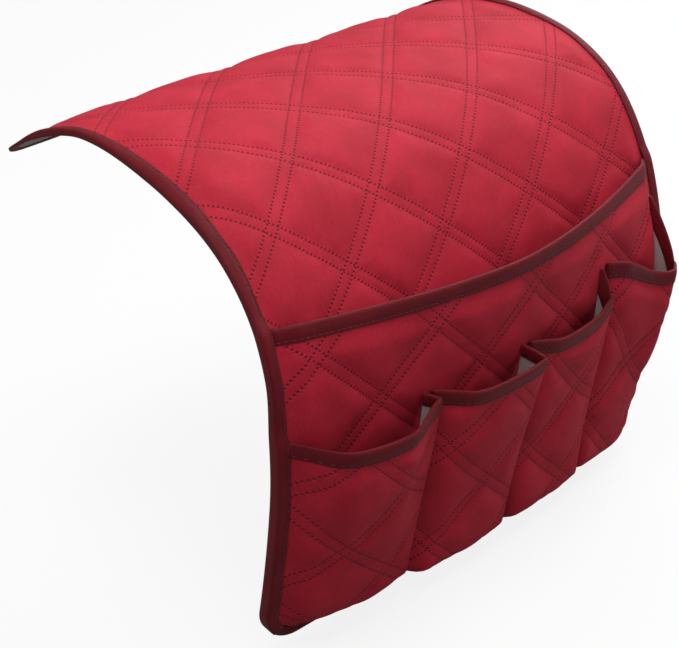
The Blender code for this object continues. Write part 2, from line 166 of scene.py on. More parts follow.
@dataclass
class Arm:
    """The sofa arm's outline, and how flat cloth lies over it."""

    width: float = 0.330
    front: float = 0.350
    back: float = 0.107
    front_radius: float = 0.025
    back_radius: float = 0.014
    radius: float = 0.130
    knot_shares: tuple[float, ...] = (-2.0, -0.923, -0.308, 0.308, 0.846, 1.385, 1.923, 2.538, 3.231)
    slopes: tuple[float, ...] = (-105.3, -44.0, -11.7, 10.9, 53.7, 81.0, 95.9, 100.9, 106.0)
    steps_per_knot: int = 60
    pull: float = 0.004
    pull_reach: float = 0.060
    pull_down: float = 0.224
    pull_height: float = 0.064
    droop_run: float = 0.024
    top_droop: float = 0.0085
    top_middle: float = 0.058
    top_half: float = 0.090
    right_lift: float = 0.0030
    right_middle: float = -0.02
    right_half: float = 0.09
    back_droop: float = 0.0020
    back_reach: float = 0.080
    back_start: float = 0.02
    back_run: float = 0.05
    front_droop: float = 0.0030
    front_start: float = 0.17
    front_run: float = 0.04
    heel_lift: float = 0.0035
    heel_reach: float = 0.10
    heel_start: float = 0.26
    heel_run: float = 0.09
    pinch: float = 0.6
    pinch_reach: float = 0.06
    pinch_start: float = 0.06
    pinch_run: float = 0.03
    plies: float = 0.0027
    path: list[tuple[float, float, float]] = field(init=False)

    def __post_init__(self) -> None:
        """Work out the cloth's path over the arm, with the top of the arm at 0."""
        low = self.radius * self.knot_shares[0]
        high = self.radius * self.knot_shares[-1]
        count = self.steps_per_knot * (len(self.knot_shares) - 1)
        step = (high - low) / count
        rows = [(low, 0.0, 0.0)]
        for _ in range(count):
            v, y, z = rows[-1]
            angle = self.slope(v + step / 2.0)
            rows.append((v + step, y - step * math.cos(angle), z - step * math.sin(angle)))
        top = max(rows, key=lambda row: row[2])
        self.path = [(v, y - top[1], z - top[2]) for v, y, z in rows]

    def slope(self, v: float) -> float:
        """Return how steeply the cloth falls at v, in radians.

        Args:
            v: How far down the cloth.

        Returns:
            The angle, from -105 to 106 degrees, in radians.
        """
        knots = [self.radius * share for share in self.knot_shares]
        v = min(knots[-1], max(knots[0], v))
        k = 0
        while k < len(knots) - 2 and v > knots[k + 1]:
            k += 1
        part = (v - knots[k]) / (knots[k + 1] - knots[k])
        return math.radians(self.slopes[k] + part * (self.slopes[k + 1] - self.slopes[k]))

    def rounded(self, x: float, v: float) -> tuple[float, float]:
        """Return x and v with the drape's four corners rounded.

        Args:
            x: How far across the cloth.
            v: How far down the cloth.

        Returns:
            The two, moved inwards at a corner.
        """
        for side, radius in ((1.0, self.front_radius), (-1.0, self.back_radius)):
            end = self.front if side > 0 else self.back
            middle_v = side * (end - radius)
            middle_x = min(self.width - radius, max(radius, x))
            dx = x - middle_x
            dv = v - middle_v
            if dx != 0.0 and dv * side > 0.0:
                scale = max(abs(dx), abs(dv)) / math.hypot(dx, dv)
                return middle_x + dx * scale, middle_v + dv * scale
        return x, v

    def bend(self, x: float, v: float, n: float) -> Vector:
        """Lay a point over the arm without rounding the corners.

        Args:
            x: How far across the cloth.
            v: How far down the cloth.
            n: The height over the drape's seams.

        Returns:
            The point, in the frame of the CAD.
        """
        heel = smooth((v - self.heel_start) / self.heel_run)
        v -= self.heel_lift * smooth(1.0 - x / self.heel_reach) * heel
        pinched = smooth(1.0 - x / self.pinch_reach) * smooth((-v - self.pinch_start) / self.pinch_run)
        thin = 1.0 - self.pinch * pinched
        n = (n + self.plies) * thin - self.plies
        low = self.path[0][0]
        step = (self.path[-1][0] - low) / (len(self.path) - 1)
        place = (v - low) / step
        k = min(len(self.path) - 2, max(0, int(place)))
        part = place - k
        y = self.path[k][1] + part * (self.path[k + 1][1] - self.path[k][1])
        z = self.path[k][2] + part * (self.path[k + 1][2] - self.path[k][2])
        angle = self.slope(v)
        across = smooth((x - (self.width - self.pull_reach)) / self.pull_reach)
        down = smooth(1.0 - abs(v - self.pull_down) / self.pull_height)
        n = n + self.pull * across * down - self.droop(x, v)
        return Vector((x - self.width / 2.0, y - n * math.sin(angle),
                       z + n * math.cos(angle) + self.plies))

    def droop(self, x: float, v: float) -> float:
        """Return how far the left edge hangs lower than the cloth beside it.

        Args:
            x: How far across the cloth.
            v: How far down the cloth.

        Returns:
            The drop, in metres.
        """
        near = max(0.0, 1.0 - x / self.droop_run) ** 2
        far = max(0.0, 1.0 - (self.width - x) / self.droop_run) ** 2
        over = smooth(1.0 - abs(v - self.top_middle) / self.top_half)
        ahead = smooth((v - self.front_start) / self.front_run)
        behind = smooth(1.0 - x / self.back_reach) * smooth((-v - self.back_start) / self.back_run)
        low = near * (self.top_droop * over + self.front_droop * ahead) + self.back_droop * behind
        return low - self.right_lift * far * smooth(1.0 - abs(v - self.right_middle) / self.right_half)

    def lay(self, x: float, v: float, n: float) -> Vector:
        """Round the corners, then lay the point over the arm."""
        return self.bend(*self.rounded(x, v), n)


@dataclass(frozen=True)
class Quilt:
    """Diamonds between double rows of welded dots that cross the cloth both ways."""

    across: float = 0.07406
    down: float = 0.06818
    start_across: float = 0.0701
    start_down: float = -0.0027
    spacing: float = 0.05016
    half_row: float = 0.00313
    puff: float = 0.0024
    ridge: float = 0.0005
    roundness: float = 3.0
    steps: int = 32

    def lift(self, share: float) -> float:
        """Return the cloth's rise beside one family of rows.

        Args:
            share: Place between two lines of the family, where a whole number is a line.

        Returns:
            The rise, from 0 on a row to the full puff midway.
        """
        distance = abs(share - round(share)) * self.spacing
        if distance < self.half_row:
            return self.ridge * (1.0 - (distance / self.half_row) ** 2)
        t = (distance - self.half_row) / (self.spacing / 2.0 - self.half_row)
        return self.puff * (1.0 - (1.0 - t) ** self.roundness)

    def height(self, x: float, v: float) -> float:
        """Return the rise of the padded cloth over its rows.

        Args:
            x: How far across the cloth.
            v: How far down the cloth.

        Returns:
            The rise, from 0 to the full puff.
        """
        a = (x - self.start_across) / self.across
        b = (v - self.start_down) / self.down
        one = self.lift(a + b)
        other = self.lift(b - a)
        total = math.hypot(one, other)
        return math.sqrt(2.0) * one * other / total if total > 0.0 else 0.0


class Nodes:
    """Short ways to add shader nodes to one node tree."""

    def __init__(self, tree: bpy.types.NodeTree) -> None:
        """Keep the tree that the nodes go into."""
        self.tree = tree

    def add(self, kind: str, **settings: object) -> bpy.types.Node:
        """Add a node and set its properties.

        Args:
            kind: The node's type name.
            settings: Properties of the node.

        Returns:
            The new node.
        """
        node = self.tree.nodes.new(kind)
        for key, value in settings.items():
            setattr(node, key, value)
        return node

    def feed(self, value: object, socket: bpy.types.NodeSocket) -> None:
        """Link an output to a socket, or write a number or colour on it.

        Args:
            value: An output, a number or a colour.
            socket: The input that takes it.
        """
        if isinstance(value, bpy.types.NodeSocket):
            self.tree.links.new(value, socket)
        else:
            socket.default_value = value

    def math(self, operation: str, *values: object) -> bpy.types.NodeSocket:
        """Add a Math node and return its output.

        Args:
            operation: Its operation.
            values: Outputs or numbers, in the order of its inputs.

        Returns:
            Its output.
        """
        node = self.add("ShaderNodeMath", operation=operation)
        for k, value in enumerate(values):
            self.feed(value, node.inputs[k])
        return node.outputs[0]

    def step(self, value: object, low: float, high: float) -> bpy.types.NodeSocket:
        """Return a smooth step of value, from 0 at low to 1 at high.

        Args:
            value: An output.
            low: Where the step starts.
            high: Where it ends.

        Returns:
            The output with the step.
        """
        node = self.add("ShaderNodeMapRange", interpolation_type="SMOOTHSTEP")
        self.feed(value, node.inputs["Value"])
        self.feed(low, node.inputs["From Min"])
        self.feed(high, node.inputs["From Max"])
        return node.outputs["Result"]

    def weigh(self, first: object, second: object, weights: tuple[float, float]) -> bpy.types.NodeSocket:
        """Return the sum of two values, each times its weight."""
        parts = [self.math("MULTIPLY", value, weight) for value, weight in zip((first, second), weights)]
        return self.math("ADD", *parts)

    def noise(self, place: object, scale: float, detail: float, roughness: float) -> bpy.types.NodeSocket:
        """Return the value of a Noise texture.

        Args:
            place: Where it is read.
            scale: Its scale.
            detail: Its detail.
            roughness: Its roughness.

        Returns:
            The output with the value.
        """
        node = self.add("ShaderNodeTexNoise")
        self.feed(place, node.inputs["Vector"])
        self.feed(scale, node.inputs["Scale"])
        self.feed(detail, node.inputs["Detail"])
        self.feed(roughness, node.inputs["Roughness"])
        return node.outputs["Fac"]

    def mix(self, factor: object, first: object, second: object) -> bpy.types.NodeSocket:
        """Return a mix of two colours.

        Args:
            factor: The second colour's share.
            first: A colour or an output.
            second: A colour or an output.

        Returns:
            The output with the mix.
        """
        node = self.add("ShaderNodeMix", data_type="RGBA")
        self.feed(factor, node.inputs[0])
        for value, socket in ((first, node.inputs[6]), (second, node.inputs[7])):
            self.feed((*value, 1.0) if isinstance(value, tuple) else value, socket)
        return node.outputs[2]

    def stretch(self, place: object, scale: tuple[float, float, float],
                turn: float = 0.0) -> bpy.types.NodeSocket:
        """Return a place scaled, and turned about its third axis, by a Mapping node.

        Args:
            place: The output with the place.
            scale: Its scale on each axis.
            turn: The turn, in radians.

        Returns:
            The output with the new place.
        """
        node = self.add("ShaderNodeMapping")
        self.feed(place, node.inputs["Vector"])
        node.inputs["Scale"].default_value = scale
        node.inputs["Rotation"].default_value = (0.0, 0.0, turn)
        return node.outputs["Vector"]


def new_group(name: str, inputs: dict[str, str],
              outputs: dict[str, str]) -> tuple[Nodes, bpy.types.Node, bpy.types.Node]:
    """Make an empty shader node group.

    Args:
        name: The group's name.
        inputs: Socket names and their types.
        outputs: Socket names and their types.

    Returns:
        The group's nodes, its input node and its output node.
    """
    tree = bpy.data.node_groups.new(name, "ShaderNodeTree")
    for names, way in ((inputs, "INPUT"), (outputs, "OUTPUT")):
        for socket, kind in names.items():
            tree.interface.new_socket(name=socket, in_out=way, socket_type=kind)
    nodes = Nodes(tree)
    return nodes, nodes.add("NodeGroupInput"), nodes.add("NodeGroupOutput")


@dataclass
class Effects:
    """The shader node groups that several materials share."""

    quilt: Quilt
    dot_pitch: float = 0.0025
    dot_size: float = 0.00064
    dot_outside: float = 1.35
    dot_inside: float = 0.55
    band: float = 2.2
    bead: float = -0.5
    patch_grain: Grain = (34.0, 3.0, 0.55)
    streak_grain: Grain = (900.0, 3.0, 0.6)
    streak_stretch: tuple[float, float, float] = (1.0, 0.28, 1.0)
    streak_turn: float = 0.35
    speck_grain: Grain = (2600.0, 2.0, 0.6)
    nap_weights: tuple[float, float] = (0.6, 0.4)
    rib_pitch: float = 0.0009
    cross_pitch: float = 0.0006
    rib_weights: tuple[float, float] = (0.35, 0.15)
    fuzz_grain: Grain = (1500.0, 2.0, 0.6)
    fuzz_weights: tuple[float, float] = (0.6, 0.4)
    dots: bpy.types.NodeTree = field(init=False)
    nap: bpy.types.NodeTree = field(init=False)
    weave: bpy.types.NodeTree = field(init=False)

    def __post_init__(self) -> None:
        """Build the three groups."""
        self.dots = self.build_dots()
        self.nap = self.build_nap()
        self.weave = self.build_weave()

    def build_dots(self) -> bpy.types.NodeTree:
        """Make the group that draws the welded dots of the quilt's double rows.

        Returns:
            The group, with a mask of the dots and their height.
        """
        nodes, into, out = new_group(
            "welded_dots", {"Place": "NodeSocketVector"},
            {"Dots": "NodeSocketFloat", "Height": "NodeSocketFloat"})
        split = nodes.add("ShaderNodeSeparateXYZ")
        nodes.feed(into.outputs["Place"], split.inputs[0])
        quilt = self.quilt
        a = nodes.math("DIVIDE", nodes.math("SUBTRACT", split.outputs["X"], quilt.start_across), quilt.across)
        b = nodes.math("DIVIDE", nodes.math("SUBTRACT", split.outputs["Y"], quilt.start_down), quilt.down)
        run = math.hypot(quilt.across, quilt.down)
        masks = []
        beads = []
        for sign, family in ((1.0, "ADD"), (-1.0, "SUBTRACT")):
            share = nodes.math(family, b, a)
            near = nodes.math("SUBTRACT", share, nodes.math("ROUND", share))
            distance = nodes.math("MULTIPLY", nodes.math("ABSOLUTE", near), quilt.spacing)
            aside = nodes.math("SUBTRACT", distance, quilt.half_row)
            along_x = nodes.math("MULTIPLY", a, quilt.across ** 2 / run)
            along_v = nodes.math("MULTIPLY", b, sign * quilt.down ** 2 / run)
            along = nodes.math("SUBTRACT", along_x, along_v)
            count = nodes.math("DIVIDE", along, self.dot_pitch)
            part = nodes.math("SUBTRACT", count, nodes.math("ROUND", count))
            beside = nodes.math("MULTIPLY", part, self.dot_pitch)
            reach = nodes.math("SQRT", nodes.math(
                "ADD", nodes.math("MULTIPLY", beside, beside), nodes.math("MULTIPLY", aside, aside)))
            masks.append(nodes.step(reach, self.dot_size * self.dot_outside, self.dot_size * self.dot_inside))
            band = nodes.step(nodes.math("ABSOLUTE", aside), self.dot_size * self.band, 0.0)
            wave = nodes.math("COSINE", nodes.math("MULTIPLY", part, 2.0 * math.pi))
            beads.append(nodes.math("MULTIPLY", band, wave))
        dots = nodes.math("MAXIMUM", *masks)
        bead = nodes.math("MULTIPLY", nodes.math("ADD", *beads), self.bead)
        nodes.feed(dots, out.inputs["Dots"])
        nodes.feed(nodes.math("SUBTRACT", bead, dots), out.inputs["Height"])
        return nodes.tree

    def build_nap(self) -> bpy.types.NodeTree:
        """Make the group that draws brushed fibres lying this way and that.

        Returns:
            The group, with the fibres' tone, the patches' shade and a height.
        """
        nodes, into, out = new_group(
            "brushed_nap", {"Place": "NodeSocketVector"},
            {"Tone": "NodeSocketFloat", "Shade": "NodeSocketFloat", "Height": "NodeSocketFloat"})
        place = into.outputs["Place"]
        streaks = nodes.noise(nodes.stretch(place, self.streak_stretch, self.streak_turn), *self.streak_grain)
        specks = nodes.noise(place, *self.speck_grain)
        nodes.feed(nodes.weigh(streaks, specks, self.nap_weights), out.inputs["Tone"])
        nodes.feed(nodes.noise(place, *self.patch_grain), out.inputs["Shade"])
        nodes.feed(nodes.math("ADD", nodes.math("MULTIPLY", streaks, 0.5), specks), out.inputs["Height"])
        return nodes.tree

    def build_weave(self) -> bpy.types.NodeTree:
        """Make the group that draws a tape's fine twill ribs.

        Returns:
            The group, with the ribs' tone and height.
        """
        nodes, into, out = new_group(
            "twill_weave", {"Place": "NodeSocketVector"},
            {"Tone": "NodeSocketFloat", "Height": "NodeSocketFloat"})
        split = nodes.add("ShaderNodeSeparateXYZ")
        nodes.feed(into.outputs["Place"], split.inputs[0])
        slant = nodes.math("ADD", split.outputs["X"], split.outputs["Y"])
        rib = nodes.math("SINE", nodes.math("MULTIPLY", slant, 2.0 * math.pi / self.rib_pitch))
        turns = 2.0 * math.pi / self.cross_pitch
        cross = nodes.math("SINE", nodes.math("MULTIPLY", split.outputs["X"], turns))
        lift = nodes.math("ADD", nodes.weigh(rib, cross, self.rib_weights), 0.5)
        fuzz = nodes.noise(into.outputs["Place"], *self.fuzz_grain)
        nodes.feed(nodes.weigh(lift, fuzz, self.fuzz_weights), out.inputs["Tone"])
        nodes.feed(lift, out.inputs["Height"])
        return nodes.tree


def new_material(name: str, on_cloth: bool = True) -> tuple[Nodes, bpy.types.Node, bpy.types.NodeSocket]:
    """Make a material with a Principled shader and a place for its patterns.

    Args:
        name: The material's name.
        on_cloth: Whether the place is the one on the flat cloth, and not the one in the object.

    Returns:
        The material's nodes, its shader and the place's socket.
    """
    material = bpy.data.materials.new(name)
    material.use_nodes = True
    nodes = Nodes(material.node_tree)
    if on_cloth:
        place = nodes.add("ShaderNodeUVMap", uv_map="cloth").outputs["UV"]
    else:
        place = nodes.add("ShaderNodeTexCoord").outputs["Object"]
    return nodes, material.node_tree.nodes["Principled BSDF"], place


def use_group(nodes: Nodes, tree: bpy.types.NodeTree, place: bpy.types.NodeSocket) -> bpy.types.Node:
    """Place a shared group in a material and feed it the cloth's place.

    Args:
        nodes: The material's nodes.
        tree: The group.
        place: The cloth's place.

    Returns:
        The group's node.
    """
    group = nodes.add("ShaderNodeGroup", node_tree=tree)
    nodes.feed(place, group.inputs["Place"])
    return group


def add_bump(nodes: Nodes, height: object, distance: float, strength: float,
             under: object = None) -> bpy.types.NodeSocket:
    """Return the normal of a Bump node, stacked on another one where under is given.

    Args:
        nodes: The material's nodes.
        height: The height.
        distance: Its depth, in metres.
        strength: Its strength.
        under: The normal below, if there is one.

    Returns:
        The normal.
    """
    bump = nodes.add("ShaderNodeBump")
    nodes.feed(height, bump.inputs["Height"])
    bump.inputs["Distance"].default_value = distance
    bump.inputs["Strength"].default_value = strength
    if under is not None:
        nodes.feed(under, bump.inputs["Normal"])
    return bump.outputs["Normal"]


@dataclass(frozen=True)
class Surface:
    """The plain values that a finish writes on its shader's own sockets."""

    roughness: float
    sheen: float = 0.0
    gloss: float = 0.5
    sheen_roughness: float = 0.5
    sheen_tint: Colour = (1.0, 1.0, 1.0)

    def apply(self, shader: bpy.types.Node) -> None:
        """Write the values on a shader.

        Args:
            shader: A Principled shader.
        """
        shader.inputs["Roughness"].default_value = self.roughness
        shader.inputs["Specular IOR Level"].default_value = self.gloss
        shader.inputs["Sheen Weight"].default_value = self.sheen
        shader.inputs["Sheen Roughness"].default_value = self.sheen_roughness
        shader.inputs["Sheen Tint"].default_value = (*self.sheen_tint, 1.0)


@dataclass(frozen=True)
class BrushedCloth:
    """Matte brushed microfibre, welded in double rows of dots."""

    deep: Colour = (0.410, 0.007, 0.023)
    light: Colour = (0.570, 0.014, 0.041)
    dot: Colour = (0.170, 0.004, 0.012)
    surface: Surface = Surface(0.75, 0.05, 0.30, 0.45, (1.0, 0.55, 0.62))
    weights: tuple[float, float] = (0.55, 0.45)
    contrast: tuple[float, float] = (0.34, 0.66)
    nap_depth: float = 0.00015
    dot_depth: float = 0.0005
    bump: float = 0.6

    def material(self, name: str, effects: Effects) -> bpy.types.Material:
        """Return the finish as a material.

        Args:
            name: The material's name.
            effects: The shared node groups.

        Returns:
            The material.
        """
        nodes, shader, place = new_material(name)
        nap = use_group(nodes, effects.nap, place)
        dots = use_group(nodes, effects.dots, place)
        worn = nodes.weigh(nap.outputs["Tone"], nap.outputs["Shade"], self.weights)
        body = nodes.mix(nodes.step(worn, *self.contrast), self.deep, self.light)
        nodes.feed(nodes.mix(dots.outputs["Dots"], body, self.dot), shader.inputs["Base Color"])
        self.surface.apply(shader)
        fine = add_bump(nodes, nap.outputs["Height"], self.nap_depth, self.bump)
        normal = add_bump(nodes, dots.outputs["Height"], self.dot_depth, self.bump, fine)
        nodes.feed(normal, shader.inputs["Normal"])
        return bpy.data.materials[name]


@dataclass(frozen=True)
class WovenTape:
    """Satin twill tape."""

    deep: Colour = (0.085, 0.002, 0.005)
    light: Colour = (0.230, 0.007, 0.015)
    surface: Surface = Surface(0.50, 0.08, 0.20, 0.4, (1.0, 0.7, 0.75))
    weights: tuple[float, float] = (0.6, 0.4)
    contrast: tuple[float, float] = (0.25, 0.75)
    rib_depth: float = 0.0002
    bump: float = 0.5

    def material(self, name: str, effects: Effects) -> bpy.types.Material:
        """Return the finish as a material.

        Args:
            name: The material's name.
            effects: The shared node groups.

        Returns:
            The material.
        """
        nodes, shader, place = new_material(name)
        weave = use_group(nodes, effects.weave, place)
        nap = use_group(nodes, effects.nap, place)
        worn = nodes.weigh(weave.outputs["Tone"], nap.outputs["Shade"], self.weights)
        body = nodes.mix(nodes.step(worn, *self.contrast), self.deep, self.light)
        nodes.feed(body, shader.inputs["Base Color"])
        self.surface.apply(shader)
        normal = add_bump(nodes, weave.outputs["Height"], self.rib_depth, self.bump)
        nodes.feed(normal, shader.inputs["Normal"])
        return bpy.data.materials[name]


@dataclass(frozen=True)
class PressedFelt:
    """Thin non-woven cloth, as on the inner sides and in the padding."""

    deep: Colour = (0.410, 0.320, 0.312)
    light: Colour = (0.540, 0.440, 0.430)
    surface: Surface = Surface(0.9, 0.15)
    fibre_depth: float = 0.0003
    fibre_grain: Grain = (1400.0, 3.0, 0.7)
    fibre_stretch: tuple[float, float, float] = (1.0, 0.2, 1.0)
    fibre_turn: float = 0.9
    weights: tuple[float, float] = (0.5, 0.5)
    contrast: tuple[float, float] = (0.3, 0.7)
    bump: float = 0.5

    def material(self, name: str, effects: Effects) -> bpy.types.Material:
        """Return the finish as a material.

        Args:
            name: The material's name.
            effects: The shared node groups.

        Returns:
            The material.
        """
        nodes, shader, place = new_material(name)
        nap = use_group(nodes, effects.nap, place)
        fibres = nodes.noise(nodes.stretch(place, self.fibre_stretch, self.fibre_turn), *self.fibre_grain)
        worn = nodes.weigh(fibres, nap.outputs["Shade"], self.weights)
        body = nodes.mix(nodes.step(worn, *self.contrast), self.deep, self.light)
        nodes.feed(body, shader.inputs["Base Color"])
        self.surface.apply(shader)
        nodes.feed(add_bump(nodes, fibres, self.fibre_depth, self.bump), shader.inputs["Normal"])
        return bpy.data.materials[name]


WADDING = PressedFelt((0.66, 0.65, 0.62), (0.86, 0.86, 0.84), Surface(0.95, 0.15), 0.0006)


@dataclass(frozen=True)
class Thread:
    """Sewing thread in short stitches."""

    deep: Colour = (0.060, 0.002, 0.006)
    light: Colour = (0.150, 0.012, 0.022)
    surface: Surface = Surface(0.5, 0.2)
    ply_grain: Grain = (3000.0, 2.0, 0.5)
    contrast: tuple[float, float] = (0.3, 0.7)
    ply_depth: float = 0.0001
    bump: float = 0.4

    def material(self, name: str) -> bpy.types.Material:
        """Return the finish as a material, with the ply's twist from Object coordinates.

        Args:
            name: The material's name.

        Returns:
            The material.
        """
        nodes, shader, place = new_material(name, on_cloth=False)
        twist = nodes.noise(place, *self.ply_grain)
        body = nodes.mix(nodes.step(twist, *self.contrast), self.deep, self.light)
        nodes.feed(body, shader.inputs["Base Color"])
        self.surface.apply(shader)
        nodes.feed(add_bump(nodes, twist, self.ply_depth, self.bump), shader.inputs["Normal"])
        return bpy.data.materials[name]


@dataclass
class Workroom:
    """What every sub-assembly needs: the arm, the quilt, and one material per finish."""

    arm: Arm = field(default_factory=Arm)
    quilt: Quilt = field(default_factory=Quilt)
    edge_tape: float = 0.0068
    tape_cloth: float = 0.0005
    room: float = 0.0003
    face: float = 0.0006
    padding: float = 0.0010
    lining: float = 0.0005
    gap: float = 0.0003
    clear: float = 0.0007
    puff_run: float = 0.012
    tape_round: float = 0.036
    cloth: bpy.types.Material = field(init=False)
    tape: bpy.types.Material = field(init=False)
    felt: bpy.types.Material = field(init=False)
    wool: bpy.types.Material = field(init=False)
    thread: bpy.types.Material = field(init=False)

    def __post_init__(self) -> None:
        """Make the materials."""
        effects = Effects(self.quilt)
        self.cloth = BrushedCloth().material("brushed_wine_cloth", effects)
        self.tape = WovenTape().material("twill_tape", effects)
        self.felt = PressedFelt().material("grey_felt", effects)
        self.wool = WADDING.material("white_wadding_wool", effects)
        self.thread = Thread().material("sewing_thread")

    @property
    def pocket_plies(self) -> float:
        """The thickness of a pocket's cloth and lining together."""
        return self.lining + self.gap + self.face

    @property
    def land(self) -> float:
        """The flat strip along a bound edge."""
        return self.edge_tape + self.clear

    def fade(self, distance: float, land: float) -> float:
        """Return 0 on a flat strip beside an edge, rising to 1 inside it."""
        return smooth((distance - land) / self.puff_run)

    def columns(self, low: float, high: float, ends: Sequence[float] = ()) -> list[float]:
        """Return grid lines across the cloth that follow the quilt."""
        return grid_lines(low, high, self.quilt.across / self.quilt.steps, self.quilt.start_across, ends)

    def rows(self, low: float, high: float, ends: Sequence[float] = ()) -> list[float]:
        """Return grid lines down the cloth that follow the quilt."""
        return grid_lines(low, high, self.quilt.down / self.quilt.steps, self.quilt.start_down, ends)

    def keep_flat_place(self, maker: bmesh.types.BMesh,
                        flat: dict[bmesh.types.BMVert, tuple[float, float]]) -> None:
        """Write each vertex's flat place in the UV map "cloth".

        Args:
            maker: The bmesh.
            flat: The flat place of each of its vertices.
        """
        layer = maker.loops.layers.uv.new("cloth")
        for face in maker.faces:
            for loop in face.loops:
                loop[layer].uv = flat[loop.vert]

    def store(self, maker: bmesh.types.BMesh, name: str, material: bpy.types.Material,
              slot: Slot) -> bpy.types.Object:
        """Turn a bmesh into a smooth object with its faces outward.

        Args:
            maker: The finished bmesh, which is freed.
            name: The new piece's name.
            material: Its material.
            slot: The record's slot that it belongs to, which is not used.

        Returns:
            The new object.
        """
        bmesh.ops.recalc_face_normals(maker, faces=maker.faces[:])
        if maker.calc_volume(signed=True) < 0.0:
            bmesh.ops.reverse_faces(maker, faces=maker.faces[:])
        for face in maker.faces:
            face.smooth = True
        mesh = bpy.data.meshes.new(name)
        maker.to_mesh(mesh)
        maker.free()
        mesh.materials.append(material)
        piece = bpy.data.objects.new(name, mesh)
        bpy.context.scene.collection.objects.link(piece)
        LOG.info("%s: %d faces", name, len(mesh.polygons))
        return piece

    def sheet(self, name: str, columns: Sequence[float], rows: Sequence[float], outer: Height,
              inner: Height, put: Put, material: bpy.types.Material, slot: Slot,
              pattern: Pattern = lambda x, v: (x, v)) -> bpy.types.Object:
        """Make one closed sheet of cloth.

        Args:
            name: The piece's name.
            columns: Its grid lines across.
            rows: Its grid lines down.
            outer: Height of its outer side at x and v.
            inner: Height of its inner side at x and v.
            put: Lays a flat point over the arm.
            material: The cloth's material.
            slot: The record's slot.
            pattern: Gives the place in the quilt's pattern of x and v.

        Returns:
            The new object, with its flat place in the UV map "cloth".
        """
        maker = bmesh.new()
        across = len(columns) - 1
        down = len(rows) - 1
        bmesh.ops.create_grid(maker, x_segments=across, y_segments=down, size=0.5)
        bmesh.ops.solidify(maker, geom=maker.faces[:], thickness=1.0)
        middle = sum(vert.co.z for vert in maker.verts) / len(maker.verts)
        flat = {}
        for vert in maker.verts:
            x = columns[round((vert.co.x + 0.5) * across)]
            v = rows[round((vert.co.y + 0.5) * down)]
            level = outer if vert.co.z > middle else inner
            flat[vert] = pattern(x, v)
            vert.co = put(x, v, level(x, v))
        low = {vert: self.quilt.height(*flat[vert]) for vert in flat}
        for face in list(maker.faces):
            if len(face.verts) == 4:
                a, b, c, d = face.verts
                pair = (a, c) if low[a] + low[c] <= low[b] + low[d] else (b, d)
                bmesh.utils.face_split(face, *pair)
        self.keep_flat_place(maker, flat)
        return self.store(maker, name, material, slot)

    def strip(self, name: str, stations: int, section: int, place: Callable[[int, int], Vector],
              length: float, closed: bool, material: bpy.types.Material, slot: Slot) -> bpy.types.Object:
        """Make a folded tape whose section is a closed loop.

        Args:
            name: The piece's name.
            stations: How many sections it has.
            section: How many points a section has.
            place: Gives the point of a station and a place in its section.
            length: The tape's length, for its weave.
            closed: Whether the last station joins the first.
            material: The tape's material.
            slot: The record's slot.

        Returns:
            The new object.
        """
        maker = bmesh.new()
        along = stations if closed else stations - 1
        bmesh.ops.create_grid(maker, x_segments=along, y_segments=section, size=0.5)
        flat = {}
        for vert in maker.verts:
            k = round((vert.co.x + 0.5) * along)
            m = round((vert.co.y + 0.5) * section)
            flat[vert] = (length * k / along, self.tape_round * m / section)
            vert.co = place(k % stations, m % section)
        self.keep_flat_place(maker, flat)
        bmesh.ops.remove_doubles(maker, verts=maker.verts[:], dist=1e-7)
        if not closed:
            edges = [edge for edge in maker.edges if len(edge.link_faces) == 1]
            bmesh.ops.holes_fill(maker, edges=edges, sides=0)
        return self.store(maker, name, material, slot)

    def stitches(self, name: str, spots: Sequence[tuple[Vector, Vector, Vector]],
                 length: float = 0.0025, thick: float = 0.00055) -> bpy.types.Object:
        """Make a row of stitches.

        Args:
            name: The piece's name.
            spots: The middle, direction and outward direction of each stitch.
            length: A stitch's length.
            thick: A stitch's thickness.

        Returns:
            The new object.
        """
        maker = bmesh.new()
        for middle, along, outward in spots:
            along = along.normalized()
            side = outward.cross(along).normalized()
            up = along.cross(side)
            turn = Matrix((along, side, up)).transposed().to_4x4()
            size = Matrix.Diagonal((length / 2.0, thick / 2.0, thick / 2.0, 1.0))
            bmesh.ops.create_uvsphere(
                maker, u_segments=6, v_segments=4, radius=1.0,
                matrix=Matrix.Translation(middle) @ turn @ size @ Matrix.Rotation(math.pi / 2.0, 4, "Y"))
        return self.store(maker, name, self.thread, Slot.TAPE)


class HemSection(Enum):
    """Where the points of a folded tape's section belong."""

    FRONT = "front"
    TOP = "top"
    BACK = "back"


